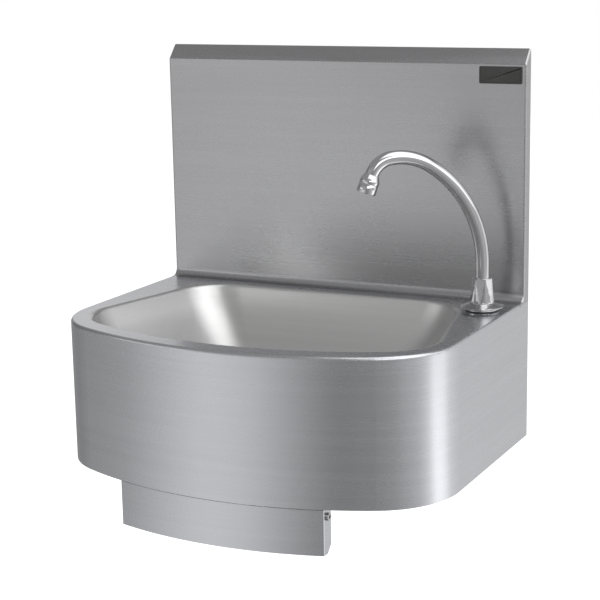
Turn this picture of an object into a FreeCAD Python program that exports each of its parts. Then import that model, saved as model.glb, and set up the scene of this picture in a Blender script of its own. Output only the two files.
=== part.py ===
import FreeCAD, Part
import math
import os
import re

import Sketcher

# Wall-hung stainless steel hand wash sink with a splashback, a swivelling swan-neck
# spout and a knee panel that opens a self-closing mixing valve under the basin.
# Millimetres. +X is to the right, +Y goes into the wall and +Z is up. The origin is
# midway between the two wall fixing holes, on the wall's plane.

SIZES = [
    # casing: deck and apron in one welded sheet
    ("width", 500.0, "overall width"),
    ("depth", 378.0, "wall to the front of the apron"),
    ("deck_level", 40.0, "deck above the wall fixing holes"),
    ("apron_height", 176.0, "deck to the apron's lower edge"),
    ("front_radius", 455.0, "apron's front curve"),
    ("corner_radius", 105.0, "apron's front corners"),
    ("sheet", 1.5, "casing and splashback sheet"),
    ("rim_bend", 4.0, "bend between deck and apron"),
    ("lip_width", 20.0, "return lip under the apron"),
    # splashback
    ("splash_height", 312.0, "deck to the splashback's rear top edge"),
    ("splash_depth", 16.0, "wall to the splashback's face"),
    ("chamfer_rise", 18.0, "height of the sloping top"),
    ("cove_radius", 10.0, "cove between splashback and deck"),
    ("cove_ledge", 14.0, "flat run of the splashback sheet on the deck"),
    ("edge_bend", 2.5, "bends at the splashback's folds"),
    # pressed bowl
    ("bowl_sheet", 1.2, "bowl sheet"),
    ("bowl_depth", 128.0, "deck to the bowl's floor"),
    ("rim_roll", 5.0, "rolled edge around the bowl"),
    ("bowl_rear_gap", 51.0, "wall to the opening's rear edge"),
    ("bowl_front_rim", 31.0, "opening's front edge to the apron's front"),
    ("bowl_side_gap", 70.5, "casing's side to the opening at its rear edge"),
    ("bowl_flare", 13.0, "degrees that each side opens towards the front"),
    ("bowl_rear_corner", 60.0, "rear corners of the opening"),
    ("bowl_front_corner", 68.0, "front corners of the opening"),
    ("bowl_front_radius", 440.0, "opening's front curve"),
    ("bowl_floor_share", 0.26, "flat floor as a share of the opening"),
    ("bowl_slope", 1.45, "how straight the walls fall: 1 for an ellipse, 2 for a cone"),
    # hanging rail
    ("rail_sheet", 2.0, "rail sheet"),
    ("rail_height", 50.0, "rail height"),
    ("rail_tab", 20.0, "tabs welded to the casing's sides"),
    ("fixing_spacing", 400.0, "between the two wall holes"),
    ("fixing_hole", 9.0, "wall hole bore"),
    # blank badge plate
    ("badge_width", 55.0, "plate width"),
    ("badge_height", 21.0, "plate height"),
    ("badge_sheet", 0.8, "plate thickness"),
    ("badge_margin", 3.0, "plate to the splashback's edges"),
    # waste
    ("waste_setback", 200.0, "wall to the waste's axis"),
    ("waste_bore", 43.0, "hole in the bowl's floor"),
    ("strainer_width", 63.0, "strainer flange diameter"),
    ("strainer_sheet", 2.5, "strainer thickness"),
    ("strainer_neck", 40.0, "strainer neck diameter"),
    ("strainer_reach", 12.0, "strainer neck length"),
    ("strainer_hole", 6.5, "drain hole diameter"),
    ("strainer_ring", 12.5, "drain hole circle radius"),
    ("strainer_wall", 1.5, "strainer neck's wall"),
    ("strainer_play", 0.5, "gasket to the strainer's neck"),
    ("waste_gasket_sheet", 1.0, "gasket under the strainer flange"),
    ("gasket_inset", 1.0, "strainer flange's edge to the gasket's"),
    ("waste_seal_sheet", 3.0, "seal under the bowl"),
    ("waste_cup_width", 62.0, "waste body's top diameter"),
    ("waste_cup_depth", 26.0, "waste body's cup"),
    ("waste_taper", 10.0, "cup to tail"),
    ("waste_tail_radius", 20.95, "threaded tail, 1 1/4 inch pipe thread"),
    ("waste_tail_length", 34.0, "threaded tail length"),
    ("waste_wall", 2.5, "waste body wall"),
    ("waste_screw_radius", 4.0, "centre screw"),
    ("waste_screw_play", 0.3, "strainer's hole to the centre screw"),
    ("waste_bar", 9.0, "bridge that takes the centre screw"),
    # tap body
    ("tap_inset", 35.0, "sink's right side to the tap's axis"),
    ("tap_setback", 72.0, "wall to the tap's axis"),
    ("rosette_width", 53.0, "rosette diameter"),
    ("rosette_foot", 42.0, "rosette foot diameter"),
    ("rosette_height", 9.5, "rosette height with its gasket"),
    ("tap_gasket_sheet", 1.0, "gasket on the deck"),
    ("bell_foot", 30.0, "tap body diameter at its foot"),
    ("bell_flats", 21.0, "tap body across its flats at the top"),
    ("bell_height", 30.0, "tap body above the rosette"),
    ("shank_radius", 10.4, "threaded shank, 1/2 inch pipe thread"),
    ("shank_reach", 45.0, "shank below the deck"),
    ("shank_bore", 6.0, "waterway radius"),
    ("thread_gap", 0.05, "between an outer and an inner thread"),
    ("shank_clearance", 0.3, "rosette, gasket and washer to the shank"),
    ("deck_clearance", 0.6, "deck's hole to the shank"),
    ("chamber_floor", 4.0, "rosette's top to the spout tail's chamber"),
    ("backnut_flats", 27.0, "backnut across flats"),
    ("backnut_height", 8.0, "backnut height"),
    ("tap_washer_sheet", 2.0, "washer under the deck"),
    # swivelling spout
    ("tail_radius", 8.5, "spout tail that turns in the tap body"),
    ("swivel_gap", 0.05, "running clearance around the spout tail"),
    ("tail_float", 0.3, "end clearance under the spout tail"),
    ("tail_length", 20.0, "spout tail"),
    ("spigot_length", 6.0, "spigot inside the spout tube"),
    ("spout_radius", 8.4, "spout tube outside radius"),
    ("spout_wall", 1.0, "spout tube wall"),
    ("spout_rise", 57.5, "deck to the start of the first bend"),
    ("rise_bend", 147.0, "first bend's radius"),
    ("rise_turn", 56.0, "degrees of the first bend"),
    ("crown_bend", 74.0, "bend over the crown"),
    ("crown_turn", 41.0, "degrees of the bend over the crown"),
    ("tip_bend", 28.5, "bend at the tip"),
    ("tip_turn", 63.0, "degrees of the bend at the tip"),
    ("spout_swing", 50.0, "degrees of the spout from straight ahead, at rest"),
    ("ring_wire", 0.66, "o-ring section radius"),
    ("ring_gap", 0.05, "o-ring to the tap body's bore"),
    ("grub_radius", 2.0, "grub screw that keeps the spout in"),
    # aerator
    ("aerator_radius", 11.8, "aerator housing"),
    ("aerator_length", 23.0, "aerator housing length"),
    ("aerator_cone", 7.0, "housing's conical shoulder"),
    ("aerator_wall", 1.5, "housing wall"),
    ("aerator_lip", 9.0, "radius of the outlet"),
    # knee panel and its pivots
    ("panel_half", 133.0, "half width of the knee panel"),
    ("panel_setback", 1.0, "panel face behind the apron's face"),
    ("panel_gap", 1.0, "apron's lower edge to the panel"),
    ("panel_height", 54.0, "panel height"),
    ("panel_flange", 19.0, "side flanges"),
    ("panel_bend", 2.0, "bends at the flanges"),
    ("flange_corner", 9.0, "cut lower corners of the flanges"),
    ("flange_crown", 5.5, "cut upper corners of the flanges"),
    ("pivot_drop", 11.0, "apron's lower edge to the pivot axis"),
    ("pivot_setback", 9.7, "panel's front corners to the pivot axis"),
    ("pivot_screw_radius", 2.5, "pivot screw shank"),
    ("pivot_head_radius", 4.6, "pivot screw head"),
    ("pivot_head_length", 2.6, "pivot screw head height"),
    ("bush_radius", 4.0, "nylon bush"),
    ("bush_collar_radius", 6.0, "bush collar"),
    ("bush_collar_length", 1.0, "bush collar"),
    ("bush_gap", 0.05, "bush to the flange's hole"),
    ("side_play", 0.3, "flange to the collar and to the screw head"),
    ("pivot_nut_flats", 8.0, "pivot nut across flats"),
    ("pivot_nut_length", 4.0, "pivot nut"),
    ("bracket_sheet", 2.0, "hinge and valve bracket sheet"),
    ("ear_width", 17.0, "hinge bracket ear"),
    ("hinge_tab", 26.0, "hinge bracket tab under the lip"),
    # valve
    ("valve_side", 65.0, "sink's middle plane to the valve axis"),
    ("valve_drop", 31.0, "apron's lower edge to the valve axis"),
    ("plate_setback", 58.0, "apron's front to the rear of the valve bracket's plate"),
    ("bracket_width", 50.0, "valve bracket"),
    ("bracket_drop", 20.0, "valve axis to the bracket's lower edge"),
    ("bracket_reach", 46.0, "bracket plate to its front edge"),
    ("bonnet_radius", 10.95, "bonnet thread"),
    ("bonnet_front", 10.0, "bonnet in front of the plate's rear"),
    ("bonnet_rear", 12.0, "bonnet inside the valve body"),
    ("locknut_flats", 27.0, "locknut across flats"),
    ("locknut_length", 5.0, "locknut"),
    ("valve_radius", 15.0, "valve body"),
    ("valve_length", 76.0, "valve body"),
    ("valve_bore", 11.0, "valve chamber"),
    ("seat_position", 47.0, "valve body's front to its seat"),
    ("seat_width", 4.0, "seat web"),
    ("seat_bore", 5.5, "seat orifice"),
    ("stem_radius", 5.0, "push stem"),
    ("stem_gap", 0.05, "stem to the bonnet"),
    ("rod_radius", 3.0, "rod through the seat"),
    ("nose_radius", 8.0, "domed push nose"),
    ("nose_gap", 0.3, "nose to the panel's buffer"),
    ("poppet_radius", 8.0, "poppet"),
    ("poppet_length", 4.0, "poppet"),
    ("seal_sheet", 1.6, "poppet seal"),
    ("seat_gap", 0.1, "seal to the seat"),
    ("spring_wire", 1.2, "spring wire diameter"),
    ("spring_radius", 5.6, "spring mean radius"),
    ("spring_curls", 4.5, "spring curls"),
    ("buffer_radius", 8.5, "buffer on the panel"),
    ("buffer_face", 6.3, "buffer's face in front of the pivot axis"),
    ("port_radius", 7.0, "outlet port"),
    ("port_bore", 4.5, "outlet port bore"),
    ("port_setback", 20.0, "plate's rear to the outlet port"),
    ("port_rise", 22.0, "valve axis to the port's top"),
    # mixing block
    ("block_width", 67.0, "mixing block"),
    ("block_height", 22.0, "mixing block"),
    ("block_length", 22.0, "mixing block"),
    ("block_spigot", 6.0, "spigot in the valve body"),
    ("inlet_spacing", 44.0, "between the two inlets"),
    ("inlet_radius", 10.48, "inlet thread, 1/2 inch pipe thread"),
    ("inlet_length", 14.0, "inlet nipple"),
    ("inlet_bore", 7.0, "inlet bore"),
    ("cartridge_length", 11.0, "check valve cartridge"),
    ("cartridge_gap", 0.1, "cartridge to the inlet bore"),
    # outlet pipe
    ("pipe_radius", 5.0, "pipe outside radius"),
    ("pipe_bore", 4.0, "pipe bore radius"),
    ("pipe_lift", 37.0, "valve's port to the pipe's level run"),
    ("pipe_low_bend", 25.0, "bend above the valve"),
    ("pipe_high_bend", 45.0, "bend below the tap"),
    ("pipe_clearance", 0.1, "union nuts to the pipe"),
    ("olive_gap", 0.02, "olives to the pipe"),
    ("olive_radius", 6.2, "olive"),
    ("olive_length", 6.0, "olive"),
    ("union_flats", 19.0, "lower union nut across flats"),
    ("union_length", 8.0, "union nuts"),
    ("coupling_flats", 24.0, "upper union nut across flats"),
    # small fasteners
    ("hole_clearance", 0.2, "sheet holes to their screws and to the bonnet"),
    ("small_screw_radius", 2.5, "bracket screws"),
    ("small_head_radius", 4.2, "bracket screw heads"),
    ("small_head_length", 2.4, "bracket screw heads"),
    ("small_screw_length", 9.0, "bracket screw shank"),
    ("small_nut_flats", 8.0, "bracket nuts across flats"),
    ("small_nut_length", 4.0, "bracket nuts"),
    ("small_screw_spacing", 32.0, "between the bracket screws"),
    ("small_screw_setback", 17.0, "apron's front to the bracket screws"),
]

NAMES = {alias for alias, value, note in SIZES}
CORNER = 2.0 / math.sqrt(3.0)  # a hexagon's corner radius over its apothem

DOC = FreeCAD.newDocument("hand_wash_sink")
SHEET = DOC.addObject("Spreadsheet::Sheet", "sizes")
NODES = []
VECTOR = FreeCAD.Vector


def fill_sheet():
    for row, (alias, value, note) in enumerate(SIZES, start=1):
        SHEET.set("A%d" % row, note)
        SHEET.set("B%d" % row, "%g" % value)
        SHEET.setAlias("B%d" % row, alias)
    DOC.recompute()


def size(alias):
    return float(SHEET.get(alias))


def rule(text):
    """A formula on the sheet's cells, written with their bare aliases."""
    def full(word):
        return "sizes." + word.group(0) if word.group(0) in NAMES else word.group(0)

    return re.sub(r"[a-z_]+", full, text)


def bind(thing, **rules):
    for prop, text in rules.items():
        thing.setExpression(prop, rule(text))


# ---------------------------------------------------------------- solids from primitives

TURNS = {
    "z": FreeCAD.Rotation(),
    "x": FreeCAD.Rotation(VECTOR(0, 1, 0), 90),
    "y": FreeCAD.Rotation(VECTOR(1, 0, 0), -90),
}


def place(thing, x="0", y="0", z="0", along="z"):
    turn = TURNS[along] if isinstance(along, str) else along
    thing.Placement = FreeCAD.Placement(VECTOR(0, 0, 0), turn)
    for axis, text in (("x", x), ("y", y), ("z", z)):
        if text != "0":
            thing.setExpression("Placement.Base." + axis, rule(text))
    return thing


def rod(name, radius, length, x="0", y="0", z="0", along="z"):
    thing = DOC.addObject("Part::Cylinder", name)
    bind(thing, Radius=radius, Height=length)
    return place(thing, x, y, z, along)


def cone(name, start, end, length, x="0", y="0", z="0", along="z"):
    thing = DOC.addObject("Part::Cone", name)
    bind(thing, Radius1=start, Radius2=end, Height=length)
    return place(thing, x, y, z, along)


def hexagon(name, flats, length, x="0", y="0", z="0", along="z"):
    thing = DOC.addObject("Part::Prism", name)
    thing.Polygon = 6
    bind(thing, Circumradius="(%s) / 2 * %.12f" % (flats, CORNER), Height=length)
    return place(thing, x, y, z, along)


def block(name, x, y, z):
    """A box between two formulas on each axis."""
    thing = DOC.addObject("Part::Box", name)
    bind(thing, Length="(%s) - (%s)" % (x[1], x[0]))
    bind(thing, Width="(%s) - (%s)" % (y[1], y[0]))
    bind(thing, Height="(%s) - (%s)" % (z[1], z[0]))
    return place(thing, x[0], y[0], z[0])


def joined(name, *pieces):
    thing = DOC.addObject("Part::MultiFuse", name)
    thing.Shapes = list(pieces)
    thing.Refine = True
    return thing


def without(name, base, *tools):
    thing = DOC.addObject("Part::Cut", name)
    thing.Base = base
    thing.Tool = tools[0] if len(tools) == 1 else joined(name + "_tools", *tools)
    thing.Refine = True
    return thing


def shared(name, first, second):
    thing = DOC.addObject("Part::Common", name)
    thing.Base = first
    thing.Tool = second
    return thing


def mirrored(name, source):
    thing = DOC.addObject("Part::Mirroring", name)
    thing.Source = source
    thing.Base = VECTOR(0, 0, 0)
    thing.Normal = VECTOR(1, 0, 0)
    return thing


def together(name, *pieces):
    thing = DOC.addObject("Part::Compound", name)
    thing.Links = list(pieces)
    return thing


def ring(name, radius, bore, length, x="0", y="0", z="0", along="z"):
    outer = rod(name + "_outer", radius, length, x, y, z, along)
    inner = rod(name + "_bore", bore, length, x, y, z, along)
    return without(name, outer, inner)


def nut(name, flats, bore, length, x="0", y="0", z="0", along="z"):
    outer = hexagon(name + "_outer", flats, length, x, y, z, along)
    inner = rod(name + "_bore", bore, length, x, y, z, along)
    return without(name, outer, inner)


def shaped(name, shape, placement=None):
    """A piece whose form no primitive or sketch gives."""
    thing = DOC.addObject("Part::Feature", name)
    thing.Shape = shape
    if placement is not None:
        thing.Placement = placement
    return thing


def node(label, thing):
    """Names a finished sub-part after its node."""
    thing.Label = label
    NODES.append(thing)
    return thing


# ---------------------------------------------------------------- solids from sketches


def sketch(body, name, role, offset="0"):
    thing = body.newObject("Sketcher::SketchObject", name)
    plane = [feature for feature in body.Origin.OriginFeatures if feature.Role == role][0]
    thing.AttachmentSupport = [(plane, "")]
    thing.MapMode = "FlatFace"
    if offset != "0":
        thing.setExpression("AttachmentOffset.Base.z", rule(offset))
    return thing


def pin_down(thing, kind, text, geometry, point, value):
    """Fixes one coordinate of a sketch point to a formula."""
    if text == "0":
        axis = -1 if kind == "DistanceY" else -2
        thing.addConstraint(Sketcher.Constraint("PointOnObject", geometry, point, axis))
        return
    index = thing.addConstraint(Sketcher.Constraint(kind, -1, 1, geometry, point, value))
    thing.setExpression("Constraints[%d]" % index, rule(text))


def polygon(thing, corners):
    """A closed outline of straight edges through corners given as pairs of formulas."""
    count = len(corners)
    starts = [
        VECTOR(50 * math.cos(2 * math.pi * i / count), 50 * math.sin(2 * math.pi * i / count), 0)
        for i in range(count)
    ]
    for i in range(count):
        thing.addGeometry(Part.LineSegment(starts[i], starts[(i + 1) % count]))
    for i in range(count):
        thing.addConstraint(Sketcher.Constraint("Coincident", i, 2, (i + 1) % count, 1))
    for i, (across, up) in enumerate(corners):
        pin_down(thing, "DistanceX", across, i, 1, starts[i].x)
        pin_down(thing, "DistanceY", up, i, 1, starts[i].y)
    return thing


def pad(body, name, profile, length, both_ways=False):
    thing = body.newObject("PartDesign::Pad", name)
    thing.Profile = profile
    bind(thing, Length=length)
    if both_ways:
        thing.SideType = "Symmetric"
    DOC.recompute()
    return thing


def pocket(body, name, profile, length, both_ways=False, forward=False):
    thing = body.newObject("PartDesign::Pocket", name)
    thing.Profile = profile
    bind(thing, Length=length)
    if both_ways:
        thing.SideType = "Symmetric"
    thing.Reversed = forward
    DOC.recompute()
    return thing


def edges_where(shape, test):
    """Names of the edges whose middle point and box pass the test."""
    names = []
    for index, edge in enumerate(shape.Edges, start=1):
        middle = edge.valueAt((edge.FirstParameter + edge.LastParameter) / 2)
        if test(middle, edge.BoundBox):
            names.append("Edge%d" % index)
    return names


def dress(body, kind, name, base, size_name, amount, test):
    """A fillet or chamfer on the edges that pass the test."""
    thing = body.newObject("PartDesign::" + kind, name)
    thing.Base = (base, edges_where(base.Shape, test))
    thing.setExpression(size_name, rule(amount))
    DOC.recompute()
    return thing


def near(first, second):
    return abs(first - second) < 0.01


# ---------------------------------------------------------------- casing and splashback


def apron_outline(body, name, offset, inset, rear):
    """Plan outline of the apron moved inwards by inset: straight sides, two corner arcs
    that run into one large front arc, and a straight rear edge at y = rear."""
    thing = sketch(body, name, "XY_Plane", offset)
    shrink = float(SHEET.get(inset)) if inset in NAMES else 0.0
    half = size("width") / 2 - shrink
    corner = size("corner_radius") - shrink
    front = size("front_radius") - shrink
    front_y = size("front_radius") - size("depth")
    gap = size("front_radius") - size("corner_radius")
    corner_x = size("width") / 2 - size("corner_radius")
    corner_y = front_y - math.sqrt(gap * gap - corner_x * corner_x)
    turn = math.atan2(corner_y - front_y, corner_x)
    rear_y = 1.0
    up = VECTOR(0, 0, 1)
    left_turn = math.pi - turn - 2 * math.pi
    pieces = [
        Part.LineSegment(VECTOR(half, rear_y, 0), VECTOR(-half, rear_y, 0)),
        Part.LineSegment(VECTOR(-half, rear_y, 0), VECTOR(-half, corner_y, 0)),
        Part.ArcOfCircle(Part.Circle(VECTOR(-corner_x, corner_y, 0), up, corner), -math.pi, left_turn),
        Part.ArcOfCircle(Part.Circle(VECTOR(0, front_y, 0), up, front), left_turn, turn),
        Part.ArcOfCircle(Part.Circle(VECTOR(corner_x, corner_y, 0), up, corner), turn, 0),
        Part.LineSegment(VECTOR(half, corner_y, 0), VECTOR(half, rear_y, 0)),
    ]
    for piece in pieces:
        thing.addGeometry(piece)
    for first, second in ((0, 1), (5, 0)):
        thing.addConstraint(Sketcher.Constraint("Coincident", first, 2, second, 1))
    for first in (1, 2, 3, 4):
        thing.addConstraint(Sketcher.Constraint("Tangent", first, 2, first + 1, 1))
    thing.addConstraint(Sketcher.Constraint("Horizontal", 0))
    thing.addConstraint(Sketcher.Constraint("Vertical", 1))
    thing.addConstraint(Sketcher.Constraint("Vertical", 5))
    thing.addConstraint(Sketcher.Constraint("PointOnObject", 3, 3, -2))
    thing.addConstraint(Sketcher.Constraint("Equal", 2, 4))
    pin_down(thing, "DistanceX", "width / 2 - " + inset, 0, 1, half)
    pin_down(thing, "DistanceX", "%s - width / 2" % inset, 0, 2, -half)
    pin_down(thing, "DistanceY", rear, 0, 1, rear_y)
    pin_down(thing, "DistanceY", "front_radius - depth", 3, 3, front_y)
    for geometry, name_of_radius, value in ((2, "corner_radius", corner), (3, "front_radius", front)):
        index = thing.addConstraint(Sketcher.Constraint("Radius", geometry, value))
        thing.setExpression("Constraints[%d]" % index, rule("%s - %s" % (name_of_radius, inset)))
    return thing


APRON_BOTTOM = "deck_level - apron_height"
TAP_X = "width / 2 - tap_inset"
WELD_LINE = "splash_depth + cove_ledge"  # wall to the seam between splashback and deck


def make_casing(bowl_cutter):
    wrap = DOC.addObject("PartDesign::Body", "casing_wrap")
    outline = apron_outline(wrap, "wrap_outline", APRON_BOTTOM, "0", "-(%s)" % WELD_LINE)
    top = size("deck_level")
    seam = -size("splash_depth") - size("cove_ledge")
    solid = pad(wrap, "wrap_pad", outline, "apron_height")
    dress(wrap, "Fillet", "wrap_bend", solid, "Radius", "rim_bend",
          lambda middle, box: near(middle.z, top) and middle.y < seam - 0.01)
    sides = [
        block("casing_side_" + name, x, ("-(%s)" % WELD_LINE, "0"), (APRON_BOTTOM, "deck_level - sheet"))
        for name, x in (("left", ("-width / 2", "sheet - width / 2")),
                        ("right", ("width / 2 - sheet", "width / 2")))
    ]
    hollow = DOC.addObject("PartDesign::Body", "casing_hollow")
    outline = apron_outline(hollow, "hollow_outline", APRON_BOTTOM + " + sheet", "sheet", "1")
    pad(hollow, "hollow_pad", outline, "apron_height - 2 * sheet")
    mouth = DOC.addObject("PartDesign::Body", "casing_mouth")
    outline = apron_outline(mouth, "mouth_outline", APRON_BOTTOM + " - 1", "lip_width", "1")
    pad(mouth, "mouth_pad", outline, "sheet + 2")
    tap_hole = rod("tap_hole", "shank_radius + deck_clearance", "4 * sheet",
                   TAP_X, "-tap_setback", "deck_level - 2 * sheet")
    screw_holes = [
        rod("lip_hole_%d" % index, "small_screw_radius + hole_clearance", "4 * sheet", x,
            "small_screw_setback - depth", APRON_BOTTOM + " - 2 * sheet")
        for index, x in enumerate(BRACKET_SCREWS)
    ]
    shell = without("casing_shell", joined("casing_solid", wrap, *sides), hollow, mouth)
    return node("casing", without("casing_cut", shell, bowl_cutter, tap_hole, *screw_holes))


def make_splashback():
    body = DOC.addObject("PartDesign::Body", "splashback_body")
    top = "deck_level + splash_height"
    foot = "deck_level - sheet"
    low = "deck_level - sheet - 2 * edge_bend"
    profile = polygon(sketch(body, "splash_profile", "YZ_Plane"), [
        ("0", low),
        ("0", top),
        ("-splash_depth", top + " - chamfer_rise"),
        ("-splash_depth", "deck_level"),
        ("-(%s)" % WELD_LINE, "deck_level"),
        ("-(%s)" % WELD_LINE, low),
    ])
    solid = pad(body, "splash_pad", profile, "width", both_ways=True)
    face = -size("splash_depth")
    deck = size("deck_level")
    fold = deck + size("splash_height") - size("chamfer_rise")
    half = size("width") / 2
    solid = dress(body, "Fillet", "splash_cove", solid, "Radius", "cove_radius",
                  lambda middle, box: near(middle.y, face) and near(middle.z, deck))
    dress(body, "Fillet", "splash_bends", solid, "Radius", "edge_bend",
          lambda middle, box: (near(middle.y, face) and near(middle.z, fold))
          or (near(abs(middle.x), half) and middle.y < -0.1 and box.ZMin > deck - 0.1))
    cut_off = polygon(sketch(body, "splash_foot_profile", "YZ_Plane"), [
        ("1", low + " - 1"),
        ("1", foot),
        ("-(%s) - 1" % WELD_LINE, foot),
        ("-(%s) - 1" % WELD_LINE, low + " - 1"),
    ])
    pocket(body, "splash_foot", cut_off, "width + 2", both_ways=True)
    slope = "sqrt(splash_depth ^ 2 + chamfer_rise ^ 2) / splash_depth"
    inner_fold = "%s - chamfer_rise + chamfer_rise * sheet / splash_depth - sheet * %s" % (top, slope)
    inner_top = "%s + chamfer_rise / splash_depth - sheet * %s" % (top, slope)
    profile = polygon(sketch(body, "splash_hollow_profile", "YZ_Plane"), [
        ("1", foot + " - 1"),
        ("1", inner_top),
        ("sheet - splash_depth", inner_fold),
        ("sheet - splash_depth", foot + " - 1"),
    ])
    pocket(body, "splash_hollow", profile, "width - 2 * sheet", both_ways=True)
    return node("splashback", body)


def make_wall_rail():
    half = "width / 2 - sheet"
    up = ("-rail_height / 2", "rail_height / 2")
    plate = block("rail_plate", ("-(%s)" % half, half), ("-rail_sheet", "0"), up)
    left = block("rail_left", ("-(%s)" % half, "rail_sheet - (%s)" % half), ("-rail_tab", "0"), up)
    right = block("rail_right", ("%s - rail_sheet" % half, half), ("-rail_tab", "0"), up)
    holes = [
        rod("rail_hole_" + name, "fixing_hole / 2", "3 * rail_sheet", x, "-2 * rail_sheet", along="y")
        for name, x in (("left", "-fixing_spacing / 2"), ("right", "fixing_spacing / 2"))
    ]
    return node("wall_rail", without("rail_cut", joined("rail_solid", plate, left, right), *holes))


def make_badge():
    right = "width / 2 - edge_bend - badge_margin"
    top = "deck_level + splash_height - chamfer_rise - badge_margin"
    plate = block("badge_block", ("%s - badge_width" % right, right),
                  ("-splash_depth - badge_sheet", "-splash_depth"), ("%s - badge_height" % top, top))
    return node("badge_plate", plate)


# ---------------------------------------------------------------- bowl


def bowl_rear_half():
    return size("width") / 2 - size("bowl_side_gap")


def bowl_outline(scale, level):
    """Wire of the opening's outline at a height, scaled about the waste's axis: a straight
    rear edge, flared sides, a curved front and four rounded corners."""
    flare = math.radians(size("bowl_flare"))
    along = VECTOR(math.sin(flare), -math.cos(flare), 0)
    inward = VECTOR(-math.cos(flare), -math.sin(flare), 0)
    rear_corner = VECTOR(bowl_rear_half(), -size("bowl_rear_gap"), 0)
    rear_r = size("bowl_rear_corner")
    front_r = size("bowl_front_corner")
    arc_r = size("bowl_front_radius")
    arc_y = size("bowl_front_rim") - size("depth") + arc_r

    reach = rear_r * math.tan((math.pi / 2 - flare) / 2)
    rear_start = rear_corner + VECTOR(-reach, 0, 0)
    rear_end = rear_corner + along * reach
    rear_centre = rear_end + inward * rear_r

    # front corner: its centre is front_r inside the side line and inside the front arc
    base = rear_corner + inward * front_r
    from_arc = base - VECTOR(0, arc_y, 0)
    half_b = from_arc.dot(along)
    run = -half_b + math.sqrt(half_b ** 2 - from_arc.dot(from_arc) + (arc_r - front_r) ** 2)
    front_centre = base + along * run
    front_start = front_centre - inward * front_r
    outward = (front_centre - VECTOR(0, arc_y, 0)).normalize()
    front_end = front_centre + outward * front_r

    def spot(point, side=1):
        waste_y = -size("waste_setback")
        return VECTOR(side * point.x * scale, waste_y + (point.y - waste_y) * scale, level)

    def middle(centre, first, second, radius):
        chord = (first + second) * 0.5 - centre
        return centre + chord.normalize() * radius

    rear_middle = middle(rear_centre, rear_start, rear_end, rear_r)
    front_middle = middle(front_centre, front_start, front_end, front_r)
    front_tip = VECTOR(0, arc_y - arc_r, 0)
    edges = [
        Part.LineSegment(spot(rear_start, -1), spot(rear_start)),
        Part.Arc(spot(rear_start), spot(rear_middle), spot(rear_end)),
        Part.LineSegment(spot(rear_end), spot(front_start)),
        Part.Arc(spot(front_start), spot(front_middle), spot(front_end)),
        Part.Arc(spot(front_end), spot(front_tip), spot(front_end, -1)),
        Part.Arc(spot(front_end, -1), spot(front_middle, -1), spot(front_start, -1)),
        Part.LineSegment(spot(front_start, -1), spot(rear_end, -1)),
        Part.Arc(spot(rear_end, -1), spot(rear_middle, -1), spot(rear_start, -1)),
    ]
    return Part.Wire([edge.toShape() for edge in edges])


def bowl_half_size():
    """Mean half width of the opening, which turns a distance into a change of scale."""
    across = bowl_rear_half()
    along = (size("depth") - size("bowl_front_rim") - size("bowl_rear_gap")) / 2
    return (across + along) / 2


def bowl_section(depth_in):
    """Pairs of scale and depth from the rolled rim down to the floor, on the surface that
    lies depth_in under the bowl's inner one."""
    mean = bowl_half_size()
    roll = size("rim_roll")
    floor = size("bowl_floor_share")
    fall = size("bowl_depth") - roll
    pairs = []
    for angle in (0.0, 45.0):
        turn = math.radians(angle)
        inner = roll - depth_in
        pairs.append((1 + (roll - inner * math.sin(turn)) / mean, roll - inner * math.cos(turn)))
    slope = size("bowl_slope")
    wall = (1 - floor) * mean
    for angle in (0.0, 18.0, 34.0, 50.0, 66.0, 90.0):
        across = max(0.0, math.cos(math.radians(angle)))
        down = math.sin(math.radians(angle))
        scale = floor + (1 - floor) * across ** slope
        depth = roll + fall * down ** slope
        outward = fall * across ** (2 - slope)
        under = wall * down ** (2 - slope)
        skin = depth_in / math.hypot(outward, under)
        pairs.append((scale + outward * skin / mean, depth + under * skin))
    return pairs


def bowl_wires(depth_in):
    level = size("deck_level")
    return [bowl_outline(scale, level - depth) for scale, depth in bowl_section(depth_in)]


def bowl_skin(wires):
    """The rolled rim and the dish are two smooth lofts that meet at the foot of the roll."""
    faces = Part.makeLoft(wires[:3], False, False, False, 3).Faces
    faces += Part.makeLoft(wires[2:], False, False, False, 3).Faces
    return faces + [Part.Face(wires[-1])]


def rim_prism(low, high):
    scale = 1 + size("rim_roll") / bowl_half_size()
    face = Part.Face(bowl_outline(scale, size("deck_level") + low))
    return face.extrude(VECTOR(0, 0, high - low))


def make_bowl():
    inside = bowl_wires(0)
    outside = bowl_wires(size("bowl_sheet"))
    edge = Part.makeLoft([inside[0], outside[0]], False, True).Faces
    skin = Part.makeCompound(bowl_skin(inside) + bowl_skin(outside) + edge)
    skin.sewShape()
    solid = Part.makeSolid(skin.Shells[0])
    if solid.Volume < 0:
        solid.reverse()
    pressed = shaped("bowl_pressing", solid)
    hole = rod("bowl_waste_hole", "waste_bore / 2", "4 * bowl_sheet",
               y="-waste_setback", z="deck_level - bowl_depth - 2 * bowl_sheet")
    return node("bowl", without("bowl_cut", pressed, hole))


# ---------------------------------------------------------------- waste

FLOOR = "deck_level - bowl_depth"


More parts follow.
